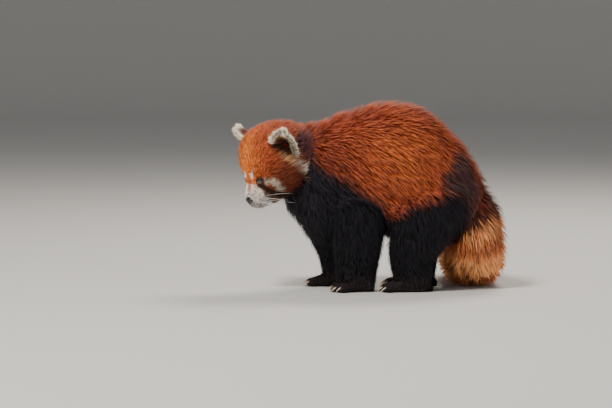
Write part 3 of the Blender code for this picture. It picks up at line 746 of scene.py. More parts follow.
# How deep the skin lies under each part's outline, in millimetres: places along it, and depths
SKIN_DEPTHS = {
    Part.NECK: ((0,), (10.0,)),
    Part.TRUNK: ((0,), (12.5,)),
    Part.FORELEG: ((0, 4, 5, 6), (6.5, 5, 3.5, 3)),
    Part.HINDLEG: ((0, 4, 5, 6), (7.0, 5, 3.5, 3)),
    Part.PAW: ((0,), (2.0,)),
    Part.TAIL: ((0,), (13.0,)),
    Part.HEAD: ((0, 4, 7, 10, 13), (7, 5, 3.6, 1.9, 1.4)),
}


@dataclass
class Skin:
    """The one skin under the coat, with the sculpted head and the cups of the ears."""

    anatomy: Anatomy
    voxel: float = 2.6 * MM
    toe_inset: float = 0.4 * MM
    head_rows: int = 104
    head_sides: int = 132
    ear_rows: int = 22
    ear_columns: int = 24
    ear_wall: float = 1.8 * MM
    tail_short: float = 1.55

    def depth_of(self, name: str) -> Callable[[Array], Array]:
        """How deep the skin lies under a form's outline.

        Args:
            name: the form's name.

        Returns:
            A function that gives the depth from the place along the form.
        """
        part = self.anatomy.forms[name].part
        places, depths = SKIN_DEPTHS[part]
        return lambda place: np.interp(place, places, depths) * MM

    def sculpt_face(self, points: Array) -> Array:
        """Presses the sockets in and raises the brows, lip pads and chin.

        Args:
            points: the head's surface in its own frame.

        Returns:
            The moved points.
        """
        middle = (points[:, 0] * 0.8, 0 * points[:, 1], np.full(len(points), -12 * MM))
        outward = unit(points - np.stack(middle, axis=1))
        push = np.zeros(len(points))
        for side in (1, -1):
            for spot, out, radius in SIDE_PUSHES:
                push += out * bump(points, mirrored(spot, side), radius)
            gap = line_distance(points, mirrored(MOUTH, side))
            push -= MOUTH_DEPTH * np.exp(-((gap / MOUTH_DEPTH) ** 2))
        for spot, out, radius in MIDDLE_PUSHES:
            push += out * bump(points, spot, radius)
        return points + outward * push[:, None]

    def head_piece(self) -> Thing:
        """The sculpted head, closed at the back and at the snout.

        Returns:
            The piece.
        """
        form = self.anatomy.forms["head"]
        places = form.last * (1 - (1 - np.linspace(0, 1, self.head_rows)) ** 1.25)
        rings = form.rings(places, self.head_sides, self.depth_of("head"))
        points, faces = closed_rings(rings, 6 * MM, 2.5 * MM, 5)
        return mesh_object("head_skin", self.anatomy.on_head(self.sculpt_face(points)), faces)

    def ear_sheet(self, side: int, share: Array, sweep: Array) -> Array:
        """Points of an ear's middle sheet in the head's frame.

        Args:
            side: 1 for the left ear, -1 for the right.
            share: 0 at the root and 1 at the top.
            sweep: -1 at one edge and 1 at the other.

        Returns:
            One row for each point.
        """
        upward = unit(mirrored(EAR_UP, side))
        facing = mirrored(EAR_FACING, side)
        facing = unit(facing - upward * (facing @ upward))
        across = np.cross(upward, facing)
        half = np.maximum(EAR_HALF_WIDTH * np.maximum(1 - share**2.6, 0) ** 0.55, 2.0 * MM)
        cup = EAR_CUP * (sweep * sweep * (1 - 0.55 * share) - 0.5 * (1 - share))
        root = mirrored(EAR_ROOT, side)
        rise = upward * (EAR_HEIGHT * share)[:, None]
        return root + rise + across * (half * sweep)[:, None] + facing * cup[:, None]

    def ear_piece(self, side: int) -> Thing:
        """One ear's cup, a thin wall open to the front.

        Args:
            side: 1 for the left ear, -1 for the right.

        Returns:
            The ear.
        """
        rows, columns = self.ear_rows, self.ear_columns
        shares, sweeps = np.linspace(0, 1, rows), np.linspace(-1, 1, columns)
        share, sweep = np.meshgrid(shares, sweeps, indexing="ij")
        sheet = self.ear_sheet(side, share.ravel() * 0.97, sweep.ravel() * 0.97)
        faces = []
        for row in range(rows - 1):
            for column in range(columns - 1):
                start = row * columns + column
                faces.append((start, start + 1, start + columns + 1, start + columns))
        ear = mesh_object("ear_skin", self.anatomy.on_head(sheet), faces)
        wall = ear.modifiers.new("wall", "SOLIDIFY")
        wall.thickness = self.ear_wall
        wall.offset = 0
        evaluated(ear)
        return ear

    def body_piece(self) -> Thing:
        """Neck, trunk, legs, paws and tail, fused by a voxel remesh.

        Returns:
            The piece.
        """
        pieces = []
        caps = {"neck": (0, 0), "trunk": (0, 4 * MM), "tail": (0, 9 * MM)}
        for name, form in self.anatomy.forms.items():
            if form.part is Part.HEAD:
                continue
            start, stop = caps.get(name, (5 * MM, 5 * MM))
            end = form.last - (self.tail_short if form.part is Part.TAIL else 0)
            rings = form.rings(np.linspace(0, end, 6 * form.last + 1), 48, self.depth_of(name))
            rings = form.placed(rings.reshape(-1, 3)).reshape(rings.shape)
            points, faces = closed_rings(rings, start, stop, 3)
            pieces.append(mesh_object(name, points + self.anatomy.origin, faces))
        upward = np.array((0, 0, 1))
        for name in PAWS:
            for spot, way in toe_frames(name):
                axes = np.stack((way, np.cross(upward, way), upward))
                axes *= (TOE_SIZE - self.toe_inset)[:, None]
                points, faces = ellipsoid(spot + self.anatomy.origin, axes)
                pieces.append(mesh_object("toe", points, faces))
        body = joined(pieces, "body_skin")
        remesh = body.modifiers.new("remesh", "REMESH")
        remesh.mode = "VOXEL"
        remesh.voxel_size = self.voxel
        evaluated(body)
        return body

    def build(self) -> Thing:
        """The whole skin as one closed mesh.

        Returns:
            The skin.
        """
        skin = self.body_piece()
        smooth_mesh(skin, 8)
        united(skin, [self.head_piece()] + [self.ear_piece(side) for side in (1, -1)])
        skin.name = skin.data.name = "skin"
        keep_above_floor(skin)
        skin.data.shade_smooth()
        return skin


def vertex_array(mesh: Mesh, what: str = "co") -> Array:
    """A vector of each vertex.

    Args:
        mesh: the mesh.
        what: co for the places, or normal.

    Returns:
        One row for each vertex.
    """
    source = mesh.vertices if what == "co" else mesh.vertex_normals
    flat = np.empty(len(mesh.vertices) * 3, np.float32)
    source.foreach_get("co" if what == "co" else "vector", flat)
    return flat.reshape(-1, 3).astype(float)


def move_vertices(mesh: Mesh, points: Array) -> None:
    """Puts the vertices at new places."""
    mesh.vertices.foreach_set("co", points.astype(np.float32).ravel())
    mesh.update()


def store_numbers(mesh: Mesh, name: str, kind: str, numbers: Array) -> None:
    """Stores a value for each vertex.

    Args:
        mesh: the mesh.
        name: the attribute's name.
        kind: its type.
        numbers: one number or row for each vertex.
    """
    layer = mesh.attributes.new(name, kind, "POINT")
    what = "vector" if kind == "FLOAT_VECTOR" else "value"
    layer.data.foreach_set(what, numbers.astype(np.int32 if kind == "INT" else np.float32).ravel())


def edge_array(mesh: Mesh) -> Array:
    """The two vertices of each edge."""
    flat = np.empty(len(mesh.edges) * 2, np.int32)
    mesh.edges.foreach_get("vertices", flat)
    return flat.reshape(-1, 2)


def blurred(values: Array, edges: Array, rounds: int, keep: float = 0.4) -> Array:
    """Values of the vertices averaged with their neighbours'.

    Args:
        values: one row or number for each vertex.
        edges: the two vertices of each edge.
        rounds: how often to average.
        keep: the share of its own value that a vertex keeps each time.

    Returns:
        The averaged values.
    """
    flat = values.reshape(len(values), -1).astype(float)
    count = np.bincount(edges.ravel(), minlength=len(flat)).clip(min=1)
    for _ in range(rounds):
        total = np.empty_like(flat)
        for column in range(flat.shape[1]):
            one = flat[:, column]
            total[:, column] = np.bincount(edges[:, 0], one[edges[:, 1]], len(flat))
            total[:, column] += np.bincount(edges[:, 1], one[edges[:, 0]], len(flat))
        flat = keep * flat + (1 - keep) * total / count[:, None]
    return flat.reshape(values.shape)


def smooth_mesh(thing: Thing, rounds: int) -> None:
    """Evens out an object's surface by some rounds."""
    mesh = thing.data
    move_vertices(mesh, blurred(vertex_array(mesh), edge_array(mesh), rounds, 0.5))


def keep_above_floor(thing: Thing) -> None:
    """Flattens what would reach below the floor, as weight does to a sole."""
    points = vertex_array(thing.data)
    points[:, 2] = np.maximum(points[:, 2], SOLE_GAP)
    move_vertices(thing.data, points)


@dataclass
class Samples:
    """Points of all forms on the skin, each with its part, its place, its angle and its flow."""

    points: list[Array] = field(default_factory=list)
    flow: list[Array] = field(default_factory=list)
    part: list[Array] = field(default_factory=list)
    place: list[Array] = field(default_factory=list)
    angle: list[Array] = field(default_factory=list)
    step: float = 0.03

    def add(self, points: Array, flow: Array, part: Part, place: Array, angle: Array) -> None:
        """Adds the samples of one form.

        Args:
            points: where they are.
            flow: the way the hair runs at each.
            part: the form's part.
            place: where along the form each is.
            angle: the turn round the form at each.
        """
        self.points.append(points)
        self.flow.append(unit(flow))
        self.part.append(np.full(len(points), part.value))
        self.place.append(place)
        self.angle.append(angle)

    def add_form(self, form: Form, depth: Callable, origin: Array, lean: float, way: int) -> None:
        """Adds a form's surface, with hair that runs along it and leans down its sides.

        Args:
            form: the form.
            depth: gives how deep the skin lies from the place.
            origin: where the animal's frame lies.
            lean: how far the hair turns down the sides.
            way: 1 where the hair runs towards the form's end, and -1 towards its start.
        """
        places = np.linspace(0, form.last, 9 * form.last)
        place, angle = np.meshgrid(places, np.linspace(-math.pi, math.pi, 60), indexing="ij")
        place, angle = place.ravel(), angle.ravel()
        step = self.step
        inside = np.clip(place, step, form.last - step)
        under = depth(place)
        along = form.points(inside + step, angle, under) - form.points(inside - step, angle, under)
        around = form.points(inside, angle + step, under) - form.points(inside, angle - step, under)
        turn = lean * np.sin(angle)
        flow = unit(along) * way * np.cos(turn)[:, None] + unit(around) * np.sin(turn)[:, None]
        self.add(form.points(place, angle, under) + origin, flow, form.part, place, angle)

    def nearest(self, points: Array) -> Array:
        """The number of the sample nearest to each point.

        Args:
            points: the points.

        Returns:
            The samples' numbers.
        """
        spots = np.concatenate(self.points)
        tree = KDTree(len(spots))
        for index, spot in enumerate(spots):
            tree.insert(spot, index)
        tree.balance()
        return np.array([tree.find(point)[1] for point in points])


def ripple(points: Array, size: float, seed: int) -> Array:
    """A smooth, seeded wobble between about -1 and 1, with waves of a given size.

    Args:
        points: where it's wanted.
        size: the length of its waves.
        seed: its seed.

    Returns:
        One number for each point.
    """
    chance = np.random.default_rng(seed)
    total = np.zeros(len(points))
    for _ in range(6):
        way = unit(chance.normal(size=3)) * math.tau / (size * chance.uniform(0.7, 1.5))
        total += np.sin(points @ way + chance.uniform(0, math.tau))
    return total / 3


@dataclass(frozen=True)
class Palette:
    """The colours of the coat, with those of a painted highlight, sheen and shade, as linear light."""

    rust: tuple = (0.33, 0.031, 0.005)
    # painted highlight: the lighter orange laid on the middle of the flanks
    bright: tuple = (0.58, 0.086, 0.004)
    # deep rust, also painted as shade in the gaps between the head's tufts
    deep_rust: tuple = (0.130, 0.015, 0.007)
    crown: tuple = (0.43, 0.048, 0.001)
    gold: tuple = (0.74, 0.175, 0.002)
    cheek: tuple = (0.18, 0.026, 0.007)
    black: tuple = (0.011, 0.0100, 0.0135)
    nape: tuple = (0.050, 0.016, 0.022)
    hip: tuple = (0.045, 0.021, 0.021)
    band: tuple = (0.050, 0.010, 0.006)
    strip: tuple = (0.17, 0.10, 0.075)
    white: tuple = (0.86, 0.80, 0.72)
    ear_rim: tuple = (1.0, 0.88, 0.70)
    cream: tuple = (0.56, 0.47, 0.37)
    # grey of the muzzle, also painted as sheen on the hip
    grey: tuple = (0.40, 0.37, 0.37)
    buff: tuple = (0.62, 0.30, 0.12)
    tail_pale: tuple = (0.88, 0.305, 0.095)
    tail_dark: tuple = (0.48, 0.094, 0.020)
    tail_tip: tuple = (0.12, 0.034, 0.016)
    tail_root: tuple = (0.115, 0.022, 0.013)
    paw: tuple = (0.030, 0.020, 0.022)
    # dark of the lips, also painted as shade in the ears' hollows and the mouth's groove
    lip: tuple = (0.030, 0.016, 0.014)


@dataclass(frozen=True)
class Canvas:
    """Where masks are wanted: points in millimetres, and a wobble there for their edges."""

    points: Array
    wobble: Array

    @property
    def near(self) -> Array:
        """The points folded onto one side, with the second coordinate never below 0."""
        return np.stack((self.points[:, 0], np.abs(self.points[:, 1]), self.points[:, 2]), axis=1)


@dataclass(frozen=True)
class Fade:
    """A mask that rises from low to high along a direction, with an edge that wanders."""

    way: tuple
    low: float
    high: float
    wobble: float = 0.0

    def mask(self, canvas: Canvas) -> Array:
        """The mask at the canvas's points."""
        reach = canvas.near @ np.array(self.way)
        return smooth_step(reach + self.wobble * canvas.wobble, self.low, self.high)


@dataclass(frozen=True)
class Outline:
    """A mask that is 1 below a line, which is given as pairs of a place along and a height."""

    line: tuple
    low: float
    high: float
    wobble: float

    def mask(self, canvas: Canvas) -> Array:
        """The mask at the canvas's points."""
        edge = np.interp(canvas.points[:, 0], *zip(*self.line))
        return smooth_step(edge + self.wobble * canvas.wobble - canvas.points[:, 2], self.low, self.high)


@dataclass(frozen=True)
class Stroke:
    """A mask along a line of points: 1 up to the distance full from it, and 0 from end on.

    swell is how much wider it is where it lies low, within the heights of SWELLS_OVER.
    """

    line: tuple
    full: float
    end: float
    wobble: float = 0.0
    swell: float = 0.0

    def mask(self, canvas: Canvas) -> Array:
        """The mask at the canvas's points."""
        wide = self.swell * smooth_step(-canvas.points[:, 2], *SWELLS_OVER)
        gap = line_distance(canvas.near, np.array(self.line))
        return smooth_step(wide - gap + self.wobble * canvas.wobble, -self.end, -self.full)


@dataclass(frozen=True)
class Spot:
    """A mask round a point: 1 up to the distance full from it, and 0 from end on."""

    centre: tuple
    full: float
    end: float
    stretch: tuple = (1.0, 1.0, 1.0)

    def mask(self, canvas: Canvas) -> Array:
        """The mask at the canvas's points, whose distances are stretched along each axis."""
        gap = np.linalg.norm((canvas.near - np.array(self.centre)) * self.stretch, axis=1)
        return smooth_step(-gap, -self.end, -self.full)


@dataclass(frozen=True)
class Freckles:
    """A mask of seeded blots of a given size."""

    size: float
    seed: int
    low: float
    high: float

    def mask(self, canvas: Canvas) -> Array:
        """The mask at the canvas's points."""
        return smooth_step(ripple(canvas.points, self.size, self.seed), self.low, self.high)


@dataclass(frozen=True)
class Mottle:
    """A mask that swings about a level, with a wave of its own or the canvas's wobble."""

    level: float
    swing: float
    size: float = 0.0
    seed: int = 0

    def mask(self, canvas: Canvas) -> Array:
        """The mask at the canvas's points."""
        wave = ripple(canvas.points, self.size, self.seed) if self.size else canvas.wobble
        return self.level + self.swing * wave


@dataclass(frozen=True)
class Oval:
    """An oval seen from the side, by its middle and its half lengths along and up."""

    middle: tuple
    half: tuple

    def spread(self, canvas: Canvas) -> Array:
        """The squared distance of each point from the middle, which is 1 on the oval."""
        gap = (canvas.points[:, (0, 2)] - np.array(self.middle)) / np.array(self.half)
        return (gap**2).sum(axis=1)


@dataclass(frozen=True)
class Glow(Oval):
    """A mask that fades as a bell from the middle of an oval."""

    height: float
    wobble: float

    def mask(self, canvas: Canvas) -> Array:
        """The mask at the canvas's points."""
        return self.height * np.exp(-self.spread(canvas)) + self.wobble * canvas.wobble


@dataclass(frozen=True)
class Patch(Oval):
    """A mask that fills an oval out to a wavy edge."""

    reach: float
    soft: float
    swing: float
    size: float
    seed: int

    def mask(self, canvas: Canvas) -> Array:
        """The mask at the canvas's points."""
        wave = self.swing * ripple(canvas.points, self.size, self.seed)
        return smooth_step(self.reach - self.spread(canvas) + wave, 0, self.soft)


@dataclass(frozen=True)
class Layer:
    """A colour of the palette, how much of it is laid on, and the masks that bound it together."""

    colour: str
    amount: float
    masks: tuple


# The trunk's masks are in the animal's frame: towards the tail, out from the middle plane, and up
FLANK_LINE = (
    (-150, 262),
    (-122, 253),
    (-96, 220),
    (-51, 202),
    (-15, 180),
    (22, 153),
    (49, 134),
    (94, 136),
    (122, 158),
    (140, 150),
)
HIP = (Patch((152, 184), (34, 64), 1.3, 0.6, 0.3, 11, 5), Fade((0, 1, 0), 16, 40))
BODY_LAYERS = (
    # Painted highlight: a lighter orange glow on the middle of each flank
    Layer("bright", 1.0, (Glow((45, 245), (55, 50), 0.75, 0.15),)),
    Layer("deep_rust", 1.0, (Fade((-1, 0, 0), 10, 80), Fade((0, 0, -1), -300, -240), Mottle(0.45, 0.25))),
    Layer("black", 1.0, (Outline(FLANK_LINE, -9, 11, 7),)),
    Layer("hip", 1.0, HIP),
    Layer("deep_rust", 0.9, (*HIP, Freckles(6, 7, 0.15, 0.6))),
    # Painted sheen: faint grey glints freckled over the dark hip
    Layer("grey", 0.12, (*HIP, Freckles(5, 8, 0.2, 0.7))),
    Layer("tail_root", 0.85, (Fade((1, 0, -0.5), 63, 95), Fade((0, -1, 0), -34, -14))),
    Layer(
        "nape",
        0.85,
        (Fade((-1, 0, 0), 100, 122), Fade((0, 0, -1), -284, -266, 5), Fade((0, 0, 1), 215, 240)),
    ),
)
LEG_LAYERS = (Layer("paw", 1.0, (Fade((0, 0, -1), -34, -16),)),)
# The head's masks are in its own frame: forward, out from the middle plane, and up
EAR_STREAK = ((6, 68, 24), (-8, 60, -8), (-24, 46, -40))
EAR_HOLLOW = ((4, 57, 41), (0, 63, 32), (-3, 66, 22))
CHEEK_LINE = ((46, 39, -6), (40, 46, -15), (36, 46, -30))
CHIN_LINE = ((57, 30, -27), (48, 33, -39), (38, 32, -50), (28, 27, -57))
TEAR_LINE = ((58, 24, -9), (52, 33, -20), (45.4, 38, -33), (38, 37, -45), (30, 31, -53))
THROAT_LINE = ((-140, 55), (-40, 0))
# How far below the head's middle a stroke starts to swell, and where it has its full width
SWELLS_OVER = (12, 34)
HEAD_LAYERS = (
    Layer("gold", 0.8, (Fade((1, -0.5, 0.4), 12, 60, 4),)),
    Layer("rust", 0.85, (Fade((-1, 0, 0), 8, 40, 4),)),
    Layer("cheek", 0.9, (Fade((-0.15, 1, -0.6), 22, 62, 5),)),
    Layer("deep_rust", 0.8, (Fade((-0.3, 0, -1), 18, 44, 4),)),
    # Painted shade: dark freckles on the sides of the head for the gaps between tufts
    Layer("deep_rust", 0.6, (Freckles(3.6, 9, 0.1, 0.6), Fade((0, 1, 0), 8, 30))),
    Layer("nape", 0.9, (Fade((-1, 0, 0), 18, 34, 3), Fade((0, 1, 0), 26, 44), Fade((0, 0, -1), -34, -18))),
    Layer("buff", 1.0, (Stroke(EAR_STREAK, 5.5, 8.5),)),
    Layer("white", 1.0, (Stroke(EAR_STREAK, 3, 7), Fade((0, 0, -1), -8, 14))),
    # The ear's hollow at its root: partly dark inside and partly painted shade of the recess
    Layer("lip", 1.0, (Stroke(EAR_HOLLOW, 6.5, 10.5, 1.5),)),
    Layer("black", 1.0, (Outline(THROAT_LINE, 49, 56, 2), Fade((-1, 0, 0), -48, -47.99))),
    Layer("cream", 0.9, (Stroke(CHEEK_LINE, 4.2, 8.6, 2.4),)),
    Layer("strip", 0.9, (Fade((0, 0, -1), 40, 48), Fade((1, 0, 0), 30, 44))),
    Layer("white", 0.85, (Fade((1, 0, -0.16), 59.5, 65, 0.8), Fade((0, -0.2, -1), -6, 1))),
    Layer("grey", 1.0, (Mottle(0.575, 0.225, 7, 6), Fade((1, 0, 0), 54, 62), Fade((0, 0, -1), 14, 40, 1))),
    Layer("crown", 0.7, (Fade((0, -1, 0), -9, -4), Fade((0, 0, 1), -16, -8), Fade((1, 0, 0), 50, 60))),
    Layer("strip", 0.9, (Stroke(CHIN_LINE, 5, 8, 1),)),
    # The dark lip along the mouth, partly painted shade of the mouth's groove
    Layer("lip", 1.0, (Stroke(MOUTH / MM, 1.4, 3.2),)),
    Layer("band", 1.0, (Stroke(TEAR_LINE, 3.8, 6.6, 0.8, 2.2),)),
    Layer("white", 0.9, (Spot((55, 11, 11), 3.5, 6.5, (1, 1.2, 0.9)),)),
    Layer("band", 1.0, (Spot((57, 26, -1), 7.5, 10.5),)),
)


@dataclass
class Markings:
    """Paints the animal's pattern, with a painted highlight, sheen and shade here and there, on the skin's
    vertices, which the hair then carries on.

    points are in the animal's own frame and head_points in the head's, both in millimetres, and
    both are where the hair rooted at a vertex is seen. ahead is how far that is from its root, and
    front is above 0 on the open side of an ear.
    """

    points: Array
    head_points: Array
    part: Array
    place: Array
    angle: Array
    front: Array
    ahead: Array
    palette: Palette = Palette()
    body_wave: float = 26.0
    head_wave: float = 14.0
    tail_wave: float = 20.0
    ring_length: float = 54.0
    root_length: float = 88.0
    tip_length: float = 62.0

    def paint(self, colour: Array, name: str, mask: Array) -> Array:
        """Lays a colour of the palette over others where a mask says."""
        mask = np.clip(mask, 0, 1)[:, None]
        return colour * (1 - mask) + np.array(getattr(self.palette, name)) * mask

    def layered(self, ground: str, layers: tuple, canvas: Canvas) -> Array:
        """Paints layers in turn over one colour.

        Args:
            ground: the first colour.
            layers: what is laid over it.
            canvas: where.

        Returns:
            The colour of every point.
        """
        colour = np.tile(getattr(self.palette, ground), (len(canvas.points), 1))
        for layer in layers:
            masks = [mask.mask(canvas) for mask in layer.masks]
            colour = self.paint(colour, layer.colour, layer.amount * np.prod(masks, axis=0))
        return colour

    def body(self) -> Array:
        """Rust back and flanks over a black belly, shoulders and legs, with a painted highlight on the
        middle of each flank.
        """
        return self.layered("rust", BODY_LAYERS, Canvas(self.points, ripple(self.points, self.body_wave, 1)))

    def legs(self) -> Array:
        """Black legs and paws."""
        return self.layered("black", LEG_LAYERS, Canvas(self.points, np.zeros(len(self.points))))

    def head(self) -> Array:
        """The face: white brows, cheeks and muzzle, dark tear lines, orange brow and crown."""
        wobble = ripple(self.head_points, self.head_wave, 3)
        return self.layered("crown", HEAD_LAYERS, Canvas(self.head_points, wobble))

    def tail(self) -> Array:
        """Rings of pale and dark orange, a dark root and a dark tip.

        Returns:
            The colour of every point.
        """
        wobble = ripple(self.points, self.tail_wave, 2)
        lengths = np.linalg.norm(np.diff(np.array([cut[:3] for cut in TAIL], float), axis=0), axis=1)
        runs = np.concatenate(((0,), np.cumsum(lengths)))
        run = np.interp(self.place, np.arange(len(TAIL)), runs) + self.ahead
        wave = 0.5 + 0.5 * np.sin((run + 3 * wobble) * math.tau / self.ring_length + 0.6)
        tip = run.max() - self.tip_length
        colour = np.tile(self.palette.tail_pale, (len(run), 1))
        colour = self.paint(colour, "tail_dark", 0.95 * smooth_step(wave, 0.35, 0.85))
        colour = self.paint(colour, "tail_tip", smooth_step(run + 2 * wobble, tip, tip + 32))
        return self.paint(colour, "tail_root", smooth_step(self.root_length + 5 * wobble - run, -9, 9))

    def ears(self) -> Array:
        """Pale rims and fronts round a dark hollow, whose black is partly the ear's own dark inside and
        partly painted shade in its cup. Here place is the share of the height.

        Returns:
            The colour of every point.
        """
        share, sweep = self.place, np.abs(self.angle)
        front = smooth_step(self.front, -0.2, 0.2)
        # The hollow's black: partly dark inside, partly painted shade of the cup's recess
        hollow = smooth_step(0.72 - sweep, 0, 0.3) * smooth_step(0.7 - share, 0, 0.25)
        rim = np.maximum(smooth_step(sweep, 0.62, 0.85), smooth_step(share, 0.74, 0.9))
        colour = np.tile(self.palette.deep_rust, (len(share), 1))
        for name, mask in (("buff", front), ("black", front * hollow), ("ear_rim", rim)):
            colour = self.paint(colour, name, mask)
        return colour

    def colours(self) -> Array:
        """Paints every part.

        Returns:
            The colour of every vertex.
        """
        chosen = np.zeros((len(self.points), 3))
        painters = {
            (Part.NECK, Part.TRUNK): self.body,
            (Part.FORELEG, Part.HINDLEG, Part.PAW): self.legs,
            (Part.TAIL,): self.tail,
            (Part.HEAD,): self.head,
            (Part.EAR,): self.ears,
        }
        for parts, painter in painters.items():
            mask = np.isin(self.part, [part.value for part in parts])
            chosen[mask] = painter()[mask]
        return chosen


@dataclass(frozen=True)
class Tuft:
    """The shape of one tuft: a three-sided spindle of hair from a point to a point."""

    rows: tuple
    widths: tuple
    ridge: float = 0.5

    @property
    def triangles(self) -> int:
        """How many triangles one tuft has."""
        return 6 * len(self.rows)

    def build(self) -> Thing:
        """The spindle, with its length, its breadth and its ridge as attributes.

        Returns:
            The spindle.
        """
        points = [(0, 0, 0)]
        for row, width in zip(self.rows, self.widths):
            points += [(row, -width, 0), (row, 0, self.ridge * width), (row, width, 0)]
        points.append((1, 0, 0))
        last, tip = len(points) - 4, len(points) - 1
        faces = [(0, 1 + k, 1 + (k + 1) % 3) for k in range(3)]
        for row in range(len(self.rows) - 1):
            for k in range(3):
                start, after = 1 + row * 3 + k, 1 + row * 3 + (k + 1) % 3
                faces.append((start, start + 3, after + 3, after))
        faces += [(last + k, tip, last + (k + 1) % 3) for k in range(3)]
        mesh = bpy.data.meshes.new("tuft")
        mesh.from_pydata(points, [], faces)
        patch = mesh.uv_layers.new(name="TuftPatch")
        for loop in mesh.loops:
            along, breadth, _ridge = points[loop.vertex_index]
            patch.data[loop.index].uv = (0.5 + 0.5 * breadth, along)
        for name, column in (("along", 0), ("breadth", 1), ("ridge", 2)):
            layer = mesh.attributes.new(name, "FLOAT", "POINT")
            layer.data.foreach_set("value", [point[column] for point in points])
        return linked("tuft", mesh)


SHORT_TUFT = Tuft((0.42,), (1.0,))
LONG_TUFT = Tuft((0.3, 0.68), (1.0, 0.75))
# Parts whose coats are grown together, with the shape of their tufts
COAT_GROUPS = (
    ((Part.HEAD, Part.EAR), SHORT_TUFT),
    ((Part.NECK, Part.TRUNK), LONG_TUFT),
    ((Part.FORELEG, Part.HINDLEG, Part.PAW), SHORT_TUFT),
    ((Part.TAIL,), LONG_TUFT),
)


# Regions of the head's hair, as masks in its own frame
FACE = Fade((1, 0, 0), 8, 60)
MUZZLE = Fade((1, 0, 0), 56, 64)
NAPE = Fade((-1, 0, 0), 2, 42)
EYE_HAIR = Spot((55, 25, -2), 9, 20)
UNDER_LIDS = Spot((58, 27.5, -1.5), 6.0, 7.4)
UNDER_NOSE = Spot(tuple(NOSE_PLACE / MM), 1.05, 1.25, tuple(1 / (NOSE_SIZE / MM + 1)))
CHEEK_TUFTS = (((10, 62, -20), 34), ((-24, 50, -34), 30))
# How much each measure grows where the hair is small, on the cheeks and on the nape
FACE_CHANGES = {
    "length": (-0.68, 0.55, 0.75),
    "width": (-0.36, 0.15, 0.3),
    "height": (-0.74, 0.2, 0.45),
    "density": (1.3, 0.0, 0.0),
    "locks": (1.5, 0.0, -0.5),
}


